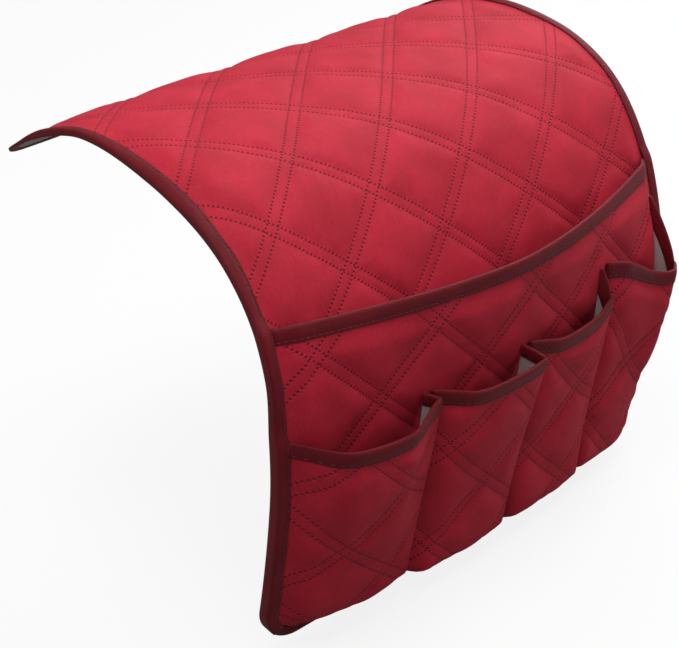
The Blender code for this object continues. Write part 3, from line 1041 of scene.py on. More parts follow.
@dataclass(frozen=True)
class Hem:
    """The section of a tape folded over an edge, and the stitches along it.

    Each point has its side, its share of the width and its height in tape thicknesses. At the top
    the share is an angle in degrees.
    """

    points: tuple[tuple[HemSection, float, float], ...] = (
        (HemSection.FRONT, 1.0, 0.25),
        (HemSection.FRONT, 0.985, 0.85),
        (HemSection.FRONT, 0.94, 1.20),
        (HemSection.FRONT, 0.84, 0.70),
        (HemSection.FRONT, 0.74, 1.35),
        (HemSection.FRONT, 0.50, 1.75),
        (HemSection.FRONT, 0.28, 1.65),
        (HemSection.FRONT, 0.10, 1.35),
        (HemSection.TOP, 35.0, 1.0),
        (HemSection.TOP, 70.0, 1.0),
        (HemSection.TOP, 110.0, 1.0),
        (HemSection.TOP, 145.0, 1.0),
        (HemSection.BACK, 0.10, 1.1),
        (HemSection.BACK, 0.50, 1.2),
        (HemSection.BACK, 0.93, 1.0),
        (HemSection.BACK, 1.0, 0.3),
        (HemSection.BACK, 0.98, 0.05),
        (HemSection.BACK, 0.12, 0.05),
        (HemSection.FRONT, 0.12, 0.05),
        (HemSection.FRONT, 0.98, 0.05),
    )
    turn: float = 0.0011
    rim_waves: Waves = ((0.03, 0.02, 8.0),)
    stitch_pitch: float = 0.0033
    stitch_share: float = 0.82
    stitch_lift: float = 0.95
    ahead: float = 0.001

    def place(self, point: int, width: float, cloth: float, front: Height,
              back: Height) -> tuple[float, float]:
        """Return one point of the section.

        Args:
            point: Its number.
            width: The tape's width on one side.
            cloth: The tape's thickness.
            front: The front's height, from the distance and a spare value.
            back: The back's height, likewise.

        Returns:
            The distance from the edge, and the height.
        """
        side, share, lift = self.points[point]
        if side is HemSection.TOP:
            high = front(0.0, 0.0) + cloth
            low = back(0.0, 0.0) - cloth
            radius = (high - low) / 2.0
            angle = math.radians(share)
            return -min(radius, self.turn) * math.sin(angle), low + radius + radius * math.cos(angle)
        distance = share * width
        if side is HemSection.FRONT:
            return distance, front(distance, 0.0) + cloth * lift
        return distance, back(distance, 0.0) - cloth * lift


@dataclass
class Drape:
    """The quilted drape itself: face cloth, padding, lining and the tape round its edge."""

    room: Workroom
    rim_down: float = 0.146
    small_rim_down: float = 0.208
    ramp: float = 0.008
    fold_pitch: float = 0.0105
    fold_height: float = 0.00034
    fold_way: tuple[float, float] = (0.95, 0.30)
    fold_waves: Waves = ((0.3, 0.06, 3.0),)
    fold_rows: Window = (0.060, 0.05, 0.156, 0.02)
    fold_columns: Window = (0.015, 0.02, 0.15, 0.06)
    rough_waves: Waves = ((0.00045, 0.045, 1.0), (0.00022, 0.014, 2.0))
    puff_share: float = 0.7
    soft_share: float = 0.4
    seam_rough: float = 0.35
    padding_room: float = 0.0002
    tape_step: float = 0.0027
    tape_overhang: float = 0.0002
    tape_flat: float = 0.018
    tape_narrow: float = 0.20
    narrow_end: float = 0.13
    narrow_run: float = 0.08
    tape_waves: Waves = ((0.05, 0.02, 5.0),)
    hem: Hem = field(default_factory=Hem)

    def edge_distance(self, x: float, v: float) -> float:
        """Return how far a point is from the drape's nearest edge."""
        arm = self.room.arm
        return min(x, arm.width - x, v + arm.back, arm.front - v)

    def fade(self, x: float, v: float) -> float:
        """Return how far the puff has risen from the bound edges."""
        return self.room.fade(self.edge_distance(x, v), self.room.land)

    def gathers(self, x: float, v: float) -> float:
        """Return the rise of the slanting folds above the wide pocket's mouth.

        Args:
            x: How far across the cloth.
            v: How far down the cloth.

        Returns:
            The height, in metres.
        """
        run = (x * self.fold_way[0] + v * self.fold_way[1]) / self.fold_pitch
        run += wrinkles(x, v, self.fold_waves)
        here = window(v, *self.fold_rows) * window(x, *self.fold_columns)
        return self.fold_height * here * math.sin(2.0 * math.pi * run)

    def top(self, x: float, v: float) -> float:
        """Return the height of the face cloth.

        Args:
            x: How far across the cloth.
            v: How far down the cloth.

        Returns:
            The height, in metres.
        """
        room = self.room
        rough = wrinkles(x, v, self.rough_waves) + self.gathers(x, v)
        rise = self.puff_share * room.quilt.height(x, v)
        soft = min(1.0, rise / (self.soft_share * room.quilt.puff))
        rise += rough * (self.seam_rough + (1.0 - self.seam_rough) * soft)
        return rise * self.fade(x, v)

    def grid(self) -> tuple[list[float], list[float]]:
        """Return the grid lines of the whole drape, inside its tape.

        Returns:
            Its lines across, and its lines down.
        """
        arm = self.room.arm
        inset = self.room.tape_cloth + self.room.room
        land = self.room.land
        columns = self.room.columns(inset, arm.width - inset, (land, arm.width - land))
        rows = self.room.rows(-arm.back + inset, arm.front - inset, (-arm.back + land, arm.front - land))
        return columns, rows

    def stations(self) -> list[tuple[float, float, float, float]]:
        """Return the outline as points with their inward direction, once round.

        Returns:
            For each point x, v and the two parts of the direction.
        """
        arm = self.room.arm

        def even(low: float, high: float) -> list[float]:
            """Return even steps from low up to, but not at, high."""
            count = max(1, round(abs(high - low) / self.tape_step))
            return [low + (high - low) * k / count for k in range(count)]

        def corner(middle_x: float, middle_v: float, radius: float,
                   first: float) -> list[tuple[float, float, float, float]]:
            """Return the points of a quarter turn.

            Args:
                middle_x: Where its middle is, across.
                middle_v: Where its middle is, down.
                radius: Its radius.
                first: The angle of its first point, in degrees.

            Returns:
                Its points, each with its inward direction.
            """
            count = max(4, round(radius * math.pi / 2.0 / self.tape_step))
            turned = []
            for k in range(count):
                angle = math.radians(first - 90.0 * k / count)
                out_x = math.cos(angle)
                out_v = math.sin(angle)
                turned.append((middle_x + radius * out_x, middle_v + radius * out_v, -out_x, -out_v))
            return turned

        front = arm.front - arm.front_radius
        back = arm.back_radius - arm.back
        wide = arm.width
        return [
            *[(0.0, v, 1.0, 0.0) for v in even(back, front)],
            *corner(arm.front_radius, front, arm.front_radius, 180.0),
            *[(x, arm.front, 0.0, -1.0) for x in even(arm.front_radius, wide - arm.front_radius)],
            *corner(wide - arm.front_radius, front, arm.front_radius, 90.0),
            *[(wide, v, -1.0, 0.0) for v in even(front, back)],
            *corner(wide - arm.back_radius, back, arm.back_radius, 0.0),
            *[(x, -arm.back, 0.0, 1.0) for x in even(wide - arm.back_radius, arm.back_radius)],
            *corner(arm.back_radius, back, arm.back_radius, -90.0),
        ]

    def channel(self, x: float, v: float) -> float:
        """Return the height of what the edge tape folds over.

        Args:
            x: How far across the cloth.
            v: How far down the cloth.

        Returns:
            The height, in metres.
        """
        plies = self.room.pocket_plies + self.room.gap
        part = min(1.0, max(0.0, (v - self.rim_down + self.ramp) / (self.ramp - self.room.face)))
        second = smooth((v - self.small_rim_down + self.ramp) / self.ramp) if x < self.room.land else 0.0
        return self.room.room + part * plies + second * plies

    def build(self) -> None:
        """Make and dress the drape's pieces."""
        room = self.room
        arm = room.arm
        columns, rows = self.grid()
        under = room.face + room.gap
        low = under + room.padding
        face = room.sheet(
            "drape_face_cloth", columns, rows, self.top, lambda x, v: self.top(x, v) - room.face,
            arm.lay, room.cloth, Slot.CLOTH)
        coarse = thinned(columns, 4)
        lines = thinned(rows, 4)
        padding = room.sheet(
            "drape_padding", coarse, lines, lambda x, v: -under - self.padding_room,
            lambda x, v: -low, arm.lay, room.wool, Slot.PADDING)
        lining = room.sheet(
            "drape_under_cloth", coarse, lines,
            lambda x, v: -low - room.gap,
            lambda x, v: -arm.plies, arm.lay, room.felt, Slot.LINING)
        for piece, node in ((face, "drape_face"), (padding, "drape_wadding"), (lining, "drape_lining")):
            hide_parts(node)
            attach(piece, "drape")
        self.build_tape()

    def tape_width(self, x: float, v: float) -> float:
        """Return how wide the edge tape shows, which is less over the crown."""
        narrow = self.tape_narrow * smooth((self.narrow_end - v) / self.narrow_run)
        return self.room.edge_tape * (1.0 - narrow + wrinkles(x, v, self.tape_waves))

    def build_tape(self) -> None:
        """Make the tape sewn round the whole drape, and its stitches."""
        room = self.room
        arm = room.arm
        outline = self.stations()

        def place(k: int, m: int) -> Vector:
            """Return a point of the tape's section.

            Args:
                k: The station.
                m: The point's number.

            Returns:
                The point, over the arm.
            """
            x, v, in_x, in_v = outline[k]
            top = self.channel(x, v)
            inset, n = self.hem.place(
                m, self.tape_width(x, v), room.tape_cloth, lambda d, _: top, lambda d, _: -arm.plies)
            inset = max(inset, -self.tape_overhang)
            return arm.bend(x + in_x * inset, v + in_v * inset, n)

        length = 2.0 * (arm.width + arm.front + arm.back)
        tape = room.strip("edge_tape", len(outline), len(self.hem.points), place, length, True,
                          room.tape, Slot.TAPE)
        spots = []
        run = 0.0
        for k, (x, v, in_x, in_v) in enumerate(outline):
            x2, v2, _, _ = outline[(k + 1) % len(outline)]
            run += math.hypot(x2 - x, v2 - v)
            if run < self.hem.stitch_pitch:
                continue
            run -= self.hem.stitch_pitch
            inset = self.tape_width(x, v) * self.hem.stitch_share
            n = self.channel(x, v) + room.tape_cloth * self.hem.stitch_lift
            x += in_x * inset
            v += in_v * inset
            middle = arm.bend(x, v, n)
            ahead = arm.bend(x - in_v * self.hem.ahead, v + in_x * self.hem.ahead, n)
            above = arm.bend(x, v, n + self.hem.ahead)
            spots.append((middle, ahead - middle, above - middle))
        seam = room.stitches("edge_stitches", spots)
        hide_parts("edge_binding")
        for piece in (tape, seam):
            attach(piece, "drape")


@dataclass
class WidePocket:
    """The wide pocket: quilted face, lining and mouth tape."""

    room: Workroom
    drape: Drape
    rim_down: float = 0.146
    bow: float = 0.026
    sag: float = 0.012
    sag_power: float = 3.0
    foot: float = 0.0012
    bow_power: float = 3.0
    across_power: float = 1.7
    toe_bow: float = 0.005
    toe_run: float = 0.014
    rim: float = 0.008
    tape_flat: float = 0.020
    shift: tuple[float, float] = (0.0070, 0.0040)
    rough_waves: Waves = ((0.0004, 0.04, 11.0), (0.0002, 0.013, 12.0))
    hem: Hem = field(default_factory=Hem)

    @property
    def floor(self) -> float:
        """How far down the pocket's floor seam lies."""
        return self.room.arm.front - self.room.land

    def pattern(self, x: float, v: float) -> tuple[float, float]:
        """Return the place in the quilt's pattern."""
        return x + self.shift[0], v + self.shift[1]

    def across(self, x: float) -> float:
        """Return the share of the bow at x.

        Args:
            x: How far across the cloth.

        Returns:
            A share from 0 at the sides to 1 in the middle.
        """
        land = self.room.land
        t = min(1.0, max(0.0, (x - land) / (self.room.arm.width - 2.0 * land)))
        return 1.0 - abs(2.0 * t - 1.0) ** self.across_power

    def rise(self, v: float) -> float:
        """Return how far up the pocket v is, from 0 at its floor to 1 at its mouth."""
        return min(1.0, max(0.0, (self.floor - v) / (self.floor - self.rim_down)))

    def level(self, x: float, v: float) -> float:
        """Return the height of the pocket's inner side.

        Args:
            x: How far across the cloth.
            v: How far down the cloth.

        Returns:
            The height, in metres.
        """
        bow = self.bow * self.rise(v) ** self.bow_power
        toe = self.toe_bow * smooth((self.floor - v) / self.toe_run)
        puff = (self.foot + self.room.quilt.puff) * self.drape.fade(x, v)
        return self.room.gap + puff + (bow + toe) * self.across(x)

    def fade(self, x: float, v: float) -> float:
        """Return how far the puff has risen from the tapes.

        Args:
            x: How far across the cloth.
            v: How far down the cloth.

        Returns:
            A share from 0 to 1.
        """
        room = self.room
        side = min(x, room.arm.width - x, room.arm.front - v)
        return room.fade(side, room.land) * room.fade(v - self.rim_down, self.rim + room.clear)

    def top(self, x: float, v: float) -> float:
        """Return the height of the face cloth.

        Args:
            x: How far across the cloth.
            v: How far down the cloth.

        Returns:
            The height, in metres.
        """
        room = self.room
        rise = room.quilt.height(*self.pattern(x, v)) + wrinkles(x, v, self.rough_waves)
        rise = min(rise, room.quilt.puff)
        return self.level(x, v) + room.pocket_plies + rise * self.fade(x, v)

    def put(self, x: float, v: float, n: float) -> Vector:
        """Lay a point of this pocket over the arm, with the mouth's sag."""
        down = v + self.sag * self.across(x) * self.rise(v) ** self.sag_power
        return self.room.arm.lay(x, down, n)

    def build(self) -> None:
        """Make and dress the pocket's pieces."""
        room = self.room
        arm = room.arm
        inset = room.tape_cloth + room.room
        land = room.land
        columns = room.columns(inset, arm.width - inset, (land, arm.width - land))
        rows = room.rows(self.rim_down, arm.front - inset, (self.rim_down + self.rim, arm.front - land))
        face = room.sheet(
            "wide_pocket_cloth", columns, rows, self.top,
            lambda x, v: self.top(x, v) - room.face, self.put, room.cloth, Slot.CLOTH, self.pattern)
        lining = room.sheet(
            "wide_pocket_inner_cloth", thinned(columns, 3), thinned(rows, 3),
            lambda x, v: self.level(x, v) + room.lining, self.level,
            self.put, room.felt, Slot.LINING)
        for piece, node in ((face, "wide_pocket_face"), (lining, "wide_pocket_lining")):
            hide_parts(node)
            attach(piece, "drape")
        tape, seam = rim_tape(
            room, "wide_pocket_rim_tape", room.columns(land, arm.width - land), self.rim_down, self.rim,
            lambda x, v: self.level(x, v) + room.pocket_plies, self.level, self.put, self.hem)
        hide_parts("wide_pocket_mouth_tape")
        for piece in (tape, seam):
            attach(piece, "drape")


def rim_tape(room: Workroom, name: str, columns: Sequence[float], start: float, rim: float,
             front: Height, back: Height, put: Put, hem: Hem) -> tuple[bpy.types.Object, bpy.types.Object]:
    """Make a tape over a pocket's mouth, and its row of stitches.

    Args:
        room: The shared workroom.
        name: The tape's name.
        columns: Its stations across.
        start: How far down the mouth's edge lies.
        rim: The tape's width on one side.
        front: Height of the cloth's outer side.
        back: Height of the lining's inner side.
        put: Lays a flat point over the arm.
        hem: The tape's section.

    Returns:
        The tape and its stitches.
    """
    def place(k: int, m: int) -> Vector:
        """Return a point of the tape's section.

        Args:
            k: The station.
            m: The point's number.

        Returns:
            The point, over the arm.
        """
        x = columns[k]
        wide = rim * (1.0 + wrinkles(x, start, hem.rim_waves))
        drop, n = hem.place(m, wide, room.tape_cloth, lambda d, _: front(x, start + d),
                            lambda d, _: back(x, start + d))
        return put(x, start + drop, n)

    length = columns[-1] - columns[0]
    tape = room.strip(name, len(columns), len(hem.points), place, length, False, room.tape, Slot.TAPE)
    spots = []
    v = start + rim * hem.stitch_share
    lift = room.tape_cloth * hem.stitch_lift
    for k in range(int(length / hem.stitch_pitch)):
        x = columns[0] + (k + 0.5) * hem.stitch_pitch
        n = front(x, v) + lift
        middle = put(x, v, n)
        ahead = put(x + hem.ahead, v, front(x + hem.ahead, v) + lift)
        spots.append((middle, ahead - middle, put(x, v, n + hem.ahead) - middle))
    return tape, room.stitches(name + "_stitches", spots)


@dataclass(frozen=True)
class PocketPlan:
    """What sets one small pocket apart from the others."""

    share: float
    stand: float
    fold_share: float
    left_rise: float
    right_rise: float
    toe_bow: float
    shift: tuple[float, float]
    reach: float = 0.017
    seam_run: float = 0.032
    middle_lift: float = 0.0
    end_lift: float = 0.0
    toe_reach: float = 0.55
    toe_span: float = 0.3
    toe_end: float = 0.0
    stand_power: float = 0.8
    tuck: float = 0.0


@dataclass
class SmallPocket:
    """One small pocket: slanting side and front in one cloth, lining, tape and gusset."""

    room: Workroom
    wide: WidePocket
    number: int
    left: float
    right: float
    plan: PocketPlan
    depth: float = 0.142
    toe_run: float = 0.006
    toe_power: float = 3.0
    toe_end_run: float = 0.030
    toe_rows: tuple[float, ...] = (0.15, 0.35, 0.6, 1.0)
    bulge_share: float = 0.12
    end_run: float = 0.016
    foot: float = 0.0005
    foot_run: float = 0.010
    rim: float = 0.008
    tape_flat: float = 0.020
    seam_gap: float = 0.0004
    steepest: float = 1.6
    puff_share: float = 1.25
    rough_wave: tuple[float, float] = (0.0006, 0.035)
    first_seed: float = 20.0
    fine_wave: tuple[float, float, float] = (0.00025, 0.012, 30.0)
    seam_fade: float = 0.010
    fold_fade: float = 0.016
    rim_fade: float = 0.010
    floor_fade: float = 0.024
    fold_radius: float = 0.0014
    fold_lines: tuple[float, ...] = (1.0, 0.55, 0.22, 0.06)
    fold_height: float = 0.005
    lining_inset: float = 0.0014
    lining_apart: float = 1.5
    seam_strip: float = 0.012
    gusset_steps: int = 12
    gusset_near: float = 0.1
    gusset_floor: float = 0.001
    gusset_gap: float = 0.0002
    gusset_top: float = 0.6
    gusset_rim: float = 0.0065
    gusset_power: float = 0.75
    gusset_slant: float = 0.004
    gusset_still: float = 0.0012
    gusset_steep: float = 0.45
    gusset_narrow: float = 0.010
    gusset_least: float = 0.31
    gusset_tape_run: float = 0.02
    gusset_tape_flat: float = 0.011
    gusset_tape_least: float = 0.0032
    hem: Hem = field(default_factory=Hem)

    @property
    def floor(self) -> float:
        """How far down the pocket's floor seam lies."""
        return self.wide.floor - self.room.clear

    @property
    def rim_down(self) -> float:
        """How far down the pocket's mouth lies."""
        return self.room.arm.front - self.depth

    @property
    def front_left(self) -> float:
        """Where the slanting side meets the front."""
        return self.left + self.plan.reach

    def rise(self, v: float) -> float:
        """Return 0 at the pocket's floor and 1 at its mouth."""
        return min(1.0, max(0.0, (self.floor - v) / (self.floor - self.rim_down)))

    def side_reach(self, v: float) -> float:
        """Return how far across the slanting side goes, which is less at the floor."""
        toe = self.plan.toe_reach
        return self.plan.reach * (toe + (1.0 - toe) * smooth(self.rise(v) / self.plan.toe_span))

    def pattern(self, x: float, v: float) -> tuple[float, float]:
        """Return the place in the quilt's pattern, measured along the slanting side.

        Args:
            x: How far across the cloth.
            v: How far down the cloth.

        Returns:
            The place across and down the pattern.
        """
        reach = self.side_reach(v)
        aside = self.left + reach - x
        if aside > 0.0:
            slant = math.hypot(1.0, min(self.steepest, self.stands(self.front_left, v) / reach))
            x -= aside * (slant - 1.0)
        return x + self.plan.shift[0], v + self.plan.shift[1]

    def across(self, x: float) -> float:
        """Return 0 at the ends of the front and 1 in its middle."""
        t = min(1.0, max(0.0, (x - self.front_left) / (self.right - self.front_left)))
        return 4.0 * t * (1.0 - t)

    def stands(self, x: float, v: float) -> float:
        """Return how far the front stands off what is under it.

        Args:
            x: How far across the cloth.
            v: How far down the cloth.

        Returns:
            The height, in metres.
        """
        arch = 1.0 - self.bulge_share + self.bulge_share * self.across(x)
        middle = (self.front_left + self.right) / 2.0
        turn = smooth((x - middle) / (self.right - middle))
        full = self.plan.stand * arch * (1.0 - (1.0 - self.plan.fold_share) * turn)
        toe = smooth((self.floor - v) / self.toe_run) * (1.0 - self.rise(v)) ** self.toe_power
        toe *= 1.0 - self.plan.toe_end * smooth(1.0 - (self.right - x) / self.toe_end_run)
        return full * self.rise(v) ** self.plan.stand_power + self.plan.toe_bow * toe * arch

    def down(self, x: float, v: float) -> float:
        """Return v after the mouth has risen to its left seam.

        Args:
            x: How far across the cloth.
            v: How far down the cloth.

        Returns:
            How far down the point lies.
        """
        t = min(1.0, max(0.0, (x - self.left) / (self.right - self.left)))
        lift = self.plan.left_rise * smooth(1.0 - (x - self.left) / self.plan.seam_run)
        lift += self.plan.middle_lift * 4.0 * t * (1.0 - t)
        lift += self.plan.end_lift * smooth(1.0 - (self.right - x) / self.end_run)
        return v - lift * self.rise(v)

    def under(self, x: float, v: float) -> float:
        """Return the height of what lies under the pocket.

        Args:
            x: How far across the cloth.
            v: How far down the cloth.

        Returns:
            The height, in metres.
        """
        wide = self.wide
        room = self.room
        return wide.level(x, v) + room.pocket_plies + room.quilt.puff * wide.fade(x, v) + room.gap

    def level(self, x: float, v: float) -> float:
        """Return the height of the inner side, from the left seam to the right fold.

        Args:
            x: How far across the cloth.
            v: How far down the cloth.

        Returns:
            The height, in metres.
        """
        ramp = round_ramp((x - self.left) / self.side_reach(v))
        high = self.stands(max(x, self.front_left), v)
        inside = self.right - x
        bent = 0.0
        if inside < self.fold_radius:
            radius = self.fold_radius
            bent = radius - math.sqrt(max(0.0, radius ** 2 - (radius - max(0.0, inside)) ** 2))
            bent *= min(1.0, high / self.fold_height)
        foot = self.foot * smooth((x - self.left) / self.foot_run)
        return self.under(x, self.down(x, v)) + foot + high * ramp - bent

    def fade(self, x: float, v: float) -> float:
        """Return how far the front's puff has risen from its tape and folds.

        Args:
            x: How far across the cloth.
            v: How far down the cloth.

        Returns:
            A share from 0 to 1.
        """
        side = min((x - self.left) / self.seam_fade, (self.right - x) / self.fold_fade)
        low = smooth((v - self.rim_down - self.rim) / self.rim_fade)
        return smooth(side) * low * smooth((self.floor - v) / self.floor_fade)

    def top(self, x: float, v: float) -> float:
        """Return the height of the face cloth.

        Args:
            x: How far across the cloth.
            v: How far down the cloth.

        Returns:
            The height, in metres.
        """
        rise = self.puff_share * self.room.quilt.height(*self.pattern(x, v))
        rise += wrinkles(x, v, ((*self.rough_wave, self.first_seed + self.number), self.fine_wave))
        return self.level(x, v) + self.room.pocket_plies + rise * self.fade(x, v)

    def put(self, x: float, v: float, n: float) -> Vector:
        """Lay a point of this pocket over the arm."""
        return self.wide.put(x, self.down(x, v), n)

    def flat_width(self, columns: Sequence[float], rows: Sequence[float]) -> float:
        """Return how wide the cloth is along its slanting side and front, as the mean of its rows.

        Args:
            columns: The cloth's grid lines across.
            rows: The rows to measure along.

        Returns:
            The width, in metres.
        """
        widths = [sum(math.hypot(after - before, self.level(after, v) - self.level(before, v))
                      for before, after in zip(columns, columns[1:])) for v in rows]
        return sum(widths) / len(widths)

    def build(self) -> None:
        """Make and dress the pocket's pieces."""
        room = self.room
        name = "small_pocket_%d" % self.number
        ends = [self.front_left, *[self.right - share * self.fold_radius for share in self.fold_lines]]
        columns = room.columns(self.left + self.seam_gap - self.plan.tuck, self.right, ends)
        toe = [self.floor - share * self.toe_run for share in self.toe_rows]
        rows = room.rows(self.rim_down, self.floor, [self.rim_down + self.rim, *toe])
        face = room.sheet(
            name + "_cloth", columns, rows, self.top, lambda x, v: self.top(x, v) - room.face,
            self.put, room.cloth, Slot.CLOTH, self.pattern)
        inset = self.lining_inset
        near_seam = [x for x in columns if x < self.left + self.seam_strip]
        inner = [x for x in near_seam if x > self.left - self.plan.tuck + inset]
        apart = self.lining_apart * inset
        inner += [x for x in columns[len(near_seam)::2] if x < self.right - apart]
        inner.append(self.right - inset)
        inner_rows = [v for v in rows[::2] if v < self.floor - apart]
        inner_rows.append(self.floor - inset)
        lining = room.sheet(
            name + "_inner_cloth", inner, inner_rows,
            lambda x, v: self.level(x, v) + room.lining, self.level, self.put, room.felt, Slot.LINING)
        tape, seam = rim_tape(
            room, name + "_rim_tape", columns, self.rim_down, self.rim,
            lambda x, v: self.level(x, v) + room.pocket_plies, self.level, self.put, self.hem)
        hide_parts(name + "_front", name + "_side")
        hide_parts(name + "_lining")
        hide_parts(name + "_mouth_tape", name + "_side_tape")
        for piece in (face, lining, tape, seam):
            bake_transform(piece)
        size = (self.flat_width(columns, rows), self.floor - self.rim_down)
        self.flat_width(columns, rows[:1])
        self.build_gusset(name)

    def build_gusset(self, name: str) -> None:
        """Make the gusset behind the right fold, with the tape on its upper edge.

        Args:
            name: The pocket's name.
        """
        room = self.room
        thick = room.face

        def at(share: float, v: float) -> float:
            """Return how far down a place in the gusset lies.

            Args:
                share: Share of its depth, from the wide pocket to the fold.
                v: How far down the cloth.

            Returns:
                The distance, after the rise towards the wide pocket.
            """
            back = (1.0 - share) ** self.gusset_power
            lift = self.plan.end_lift + back * (self.plan.right_rise - self.plan.end_lift)
            return v - lift * self.rise(v)

        def heights(v: float) -> tuple[float, float]:
            """Return the heights of the gusset's two edges."""
            low = self.under(self.right - self.gusset_slant, at(0.0, v)) + self.gusset_gap
            return low, self.level(self.right, v) + room.pocket_plies * self.gusset_top

        def point(share: float, v: float, out: float) -> Vector:
            """Return a point of the gusset, a little outwards.

            Args:
                share: Share of its depth, from the wide pocket to the fold.
                v: How far down the cloth.
                out: How far outwards.

            Returns:
                The point.
            """
            x = self.right - thick - self.gusset_gap + out - self.gusset_slant * (1.0 - share)
            low, high = heights(v)
            return self.wide.put(x, at(share, v), low + share * (high - low))

        rows = room.rows(self.rim_down, self.floor - self.gusset_floor)
        shares = [k / self.gusset_steps for k in range(self.gusset_steps + 1)]
        gusset = room.sheet(name + "_gusset_cloth", shares, rows, lambda s, v: thick, lambda s, v: 0.0,
                            point, room.cloth, Slot.CLOTH)
        inner_rows = room.rows(self.rim_down, self.floor - 2.0 * self.lining_inset)
        inner = room.sheet(name + "_gusset_inner_cloth", shares, inner_rows, lambda s, v: -room.gap,
                           lambda s, v: -room.gap - room.lining, point, room.felt, Slot.LINING)
        aside = Vector((1.0, 0.0, 0.0))

        def place(k: int, m: int) -> Vector:
            """Return a point of the tape's section, laid down along the gusset.

            Args:
                k: The station.
                m: The point's number.

            Returns:
                The point, over the arm.
            """
            drop, n = self.hem.place(m, self.gusset_rim, room.tape_cloth, lambda d, _: thick,
                                     lambda d, _: -room.gap - room.lining)
            before = point(max(0.0, shares[k] - self.gusset_near), self.rim_down, 0.0)
            after = point(min(1.0, shares[k] + self.gusset_near), self.rim_down, 0.0)
            edge = (after - before).normalized()
            below = point(shares[k], self.rim_down + self.gusset_rim, 0.0)
            below = (below - point(shares[k], self.rim_down, 0.0)).normalized()
            steep = max(self.gusset_steep, edge.cross(below).length)
            spot = point(shares[k], self.rim_down + max(0.0, drop) / steep, 0.0)
            return spot + aside.cross(edge).normalized() * min(0.0, drop) + aside * n

        tape = room.strip(name + "_gusset_tape", len(shares), len(self.hem.points), place,
                          self.gusset_tape_run, False, room.tape, Slot.TAPE)
        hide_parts(name + "_gusset")
        ends = [(point(0.0, v, 0.0), point(1.0, v, 0.0)) for v in rows]
        for piece in (gusset, inner, tape):
            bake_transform(piece)
        long = self.floor - self.rim_down + self.plan.right_rise
        wide = max(self.gusset_narrow, *[heights(v)[1] - heights(v)[0] for v in rows])
        area = sum((far2 - near).cross(near2 - far).length / 2.0
                   for (near, far), (near2, far2) in zip(ends, ends[1:]))
        area = min(wide * long, max(self.gusset_least * wide * long, area))
        span = (ends[0][1] - ends[0][0]).length
        flat = self.gusset_tape_flat
        max(self.gusset_narrow, span)
        flat * max(self.gusset_tape_least, span)


@dataclass(frozen=True)
class Lamp:
    """A soft square lamp that points at the organizer."""

    name: str
    spot: tuple[float, float, float]
    size: float
    power: float
    aim: tuple[float, float, float] = (0.0, -0.05, -0.08)

    def build(self) -> None:
        """Hang the lamp."""
        data = bpy.data.lights.new(self.name, "AREA")
        data.shape = "SQUARE"
        data.size = self.size
        data.energy = self.power
        lamp = bpy.data.objects.new(self.name, data)
        bpy.context.scene.collection.objects.link(lamp)
        way = Vector(self.aim) - Vector(self.spot)
        lamp.location = self.spot
        lamp.rotation_mode = "QUATERNION"
        lamp.rotation_quaternion = way.to_track_quat("-Z", "Y")


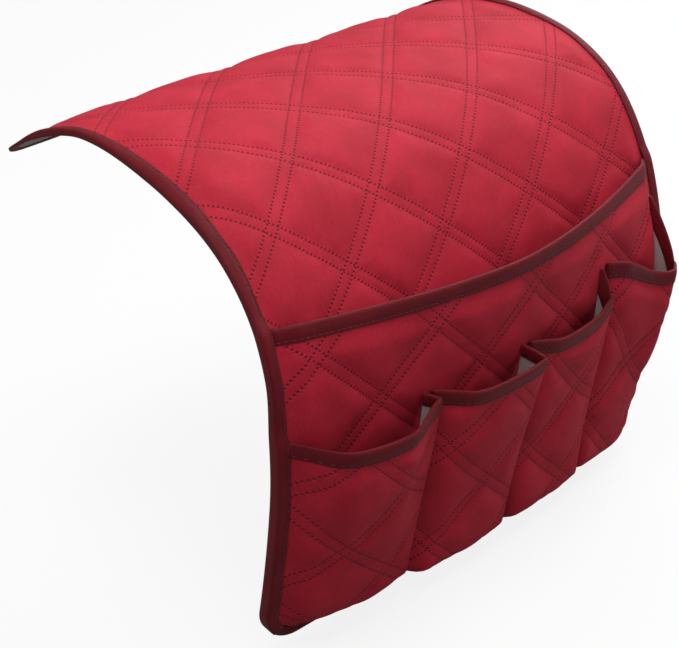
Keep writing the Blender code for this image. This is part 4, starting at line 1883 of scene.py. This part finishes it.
@dataclass
class Studio:
    """The camera, the lamps, the pale floor and the white behind it."""

    lens: float = 86.654
    sensor: float = 36.0
    clip: tuple[float, float] = (0.05, 20.0)
    spot: tuple[float, float, float] = (-0.641164, -0.643428, 0.317182)
    ahead: tuple[float, float, float] = (0.62603, 0.62222, -0.47004)
    aside: tuple[float, float, float] = (0.70461, -0.70960, -0.00089)
    lamps: tuple[Lamp, ...] = (
        Lamp("key_lamp", (-0.45, -0.40, 1.65), 1.0, 20.0),
        Lamp("side_lamp", (-1.7, -0.5, 0.45), 0.7, 2.0),
        Lamp("front_lamp", (0.75, -1.50, 0.60), 1.0, 5.4),
        Lamp("right_lamp", (1.25, 0.15, 1.10), 1.6, 26.0),
        Lamp("back_lamp", (-1.30, 0.95, 0.95), 1.2, 7.0),
    )
    floor_down: float = 0.004
    floor_half: float = 4.0
    floor_glow: float = 0.85
    paper: Surface = Surface(0.9, 0.0, 0.1)
    paper_grain: Grain = (60.0, 2.0, 0.5)
    paper_deep: Colour = (0.82, 0.82, 0.82)
    paper_light: Colour = (0.86, 0.86, 0.86)
    bounce: Colour = (0.26, 0.26, 0.26)
    fill: float = 0.09

    def build(self) -> None:
        """Set up the whole studio."""
        self.build_camera()
        for lamp in self.lamps:
            lamp.build()
        self.build_floor()
        self.build_world()
        bpy.context.scene.view_settings.view_transform = "Standard"

    def build_camera(self) -> None:
        """Put the camera where the photograph was taken."""
        data = bpy.data.cameras.new("camera")
        data.lens = self.lens
        data.sensor_width = self.sensor
        data.clip_start, data.clip_end = self.clip
        camera = bpy.data.objects.new("camera", data)
        bpy.context.scene.collection.objects.link(camera)
        ahead = Vector(self.ahead).normalized()
        aside = Vector(self.aside).normalized()
        up = aside.cross(ahead)
        turn = Matrix((aside, up, -ahead)).transposed().to_4x4()
        camera.matrix_world = Matrix.Translation(self.spot) @ turn
        bpy.context.scene.camera = camera

    def seen(self, nodes: Nodes) -> bpy.types.NodeSocket:
        """Return 1 where the camera sees a surface straight, or through a clear one."""
        rays = nodes.add("ShaderNodeLightPath")
        return nodes.math("MAXIMUM", rays.outputs["Is Camera Ray"], rays.outputs["Is Transmission Ray"])

    def build_floor(self) -> None:
        """Lay a pale floor that shows white but keeps a shadow."""
        maker = bmesh.new()
        bmesh.ops.create_grid(maker, x_segments=8, y_segments=8, size=self.floor_half)
        for vert in maker.verts:
            vert.co.z = CAD_BOX[0].z - self.floor_down
        mesh = bpy.data.meshes.new("floor")
        maker.to_mesh(mesh)
        maker.free()
        floor = bpy.data.objects.new("floor", mesh)
        bpy.context.scene.collection.objects.link(floor)
        nodes, shader, place = new_material("floor_paper", on_cloth=False)
        self.paper.apply(shader)
        paper = nodes.mix(nodes.noise(place, *self.paper_grain), self.paper_deep, self.paper_light)
        seen = self.seen(nodes)
        nodes.feed(nodes.mix(seen, self.bounce, paper), shader.inputs["Base Color"])
        glow = nodes.add("ShaderNodeEmission")
        glow.inputs["Strength"].default_value = 1.0
        both = nodes.add("ShaderNodeMixShader")
        nodes.feed(nodes.math("MULTIPLY", seen, self.floor_glow), both.inputs[0])
        nodes.feed(shader.outputs[0], both.inputs[1])
        nodes.feed(glow.outputs[0], both.inputs[2])
        nodes.feed(both.outputs[0], nodes.tree.nodes["Material Output"].inputs["Surface"])
        mesh.materials.append(bpy.data.materials["floor_paper"])

    def build_world(self) -> None:
        """Fill in from all sides, and show white behind the object."""
        world = bpy.data.worlds.new("studio_world")
        world.use_nodes = True
        bpy.context.scene.world = world
        nodes = Nodes(world.node_tree)
        back = world.node_tree.nodes["Background"]
        back.inputs["Color"].default_value = (1.0, 1.0, 1.0, 1.0)
        white = nodes.math("MULTIPLY", self.seen(nodes), 1.0 - self.fill)
        nodes.feed(nodes.math("ADD", white, self.fill), back.inputs["Strength"])


SMALL_POCKETS = (
    PocketPlan(
        share=0.291, stand=0.0204, fold_share=0.4, left_rise=0.0, right_rise=0.00384, toe_bow=0.0048,
        shift=(0.0003, 0.0277), middle_lift=-0.0035, end_lift=0.002, toe_reach=2.6, toe_span=1.0,
        tuck=0.0045),
    PocketPlan(
        share=0.239, stand=0.0156, fold_share=1.0, left_rise=0.00384, right_rise=0.00528, toe_bow=0.0110,
        shift=(0.0014, -0.0087)),
    PocketPlan(
        share=0.228, stand=0.0084, fold_share=0.9, left_rise=0.00528, right_rise=0.0256, toe_bow=0.0120,
        shift=(0.028, -0.016), end_lift=0.005),
    PocketPlan(
        share=0.242, stand=0.0084, fold_share=1.9, left_rise=0.0256, right_rise=0.0416, toe_bow=0.0090,
        shift=(0.005, 0.004), reach=0.0136, seam_run=0.062, toe_end=1.0, stand_power=1.3),
)


def small_pockets(room: Workroom, wide: WidePocket) -> list[SmallPocket]:
    """Return the four small pockets, from left to right.

    Args:
        room: The shared workroom.
        wide: The wide pocket that they are sewn on.

    Returns:
        The pockets, the outer two ending beside the edge tape.
    """
    pockets = []
    shares = [plan.share for plan in SMALL_POCKETS]
    last = len(SMALL_POCKETS) - 1
    for k, plan in enumerate(SMALL_POCKETS):
        left = room.land if k == 0 else room.arm.width * sum(shares[:k])
        right = room.arm.width * sum(shares[:k + 1])
        if k == last:
            right = room.arm.width - room.land - room.clear
        pockets.append(SmallPocket(room, wide, k + 1, left, right, plan))
    return pockets


def main() -> None:
    """Build and dress the organizer, then set up the studio."""
    logging.basicConfig(level=logging.INFO, format="%(message)s")
    room = Workroom()
    drape = Drape(room)
    drape.build()
    wide = WidePocket(room, drape)
    wide.build()
    for pocket in small_pockets(room, wide):
        pocket.build()
    Studio().build()


if __name__ == "__main__":
    main()
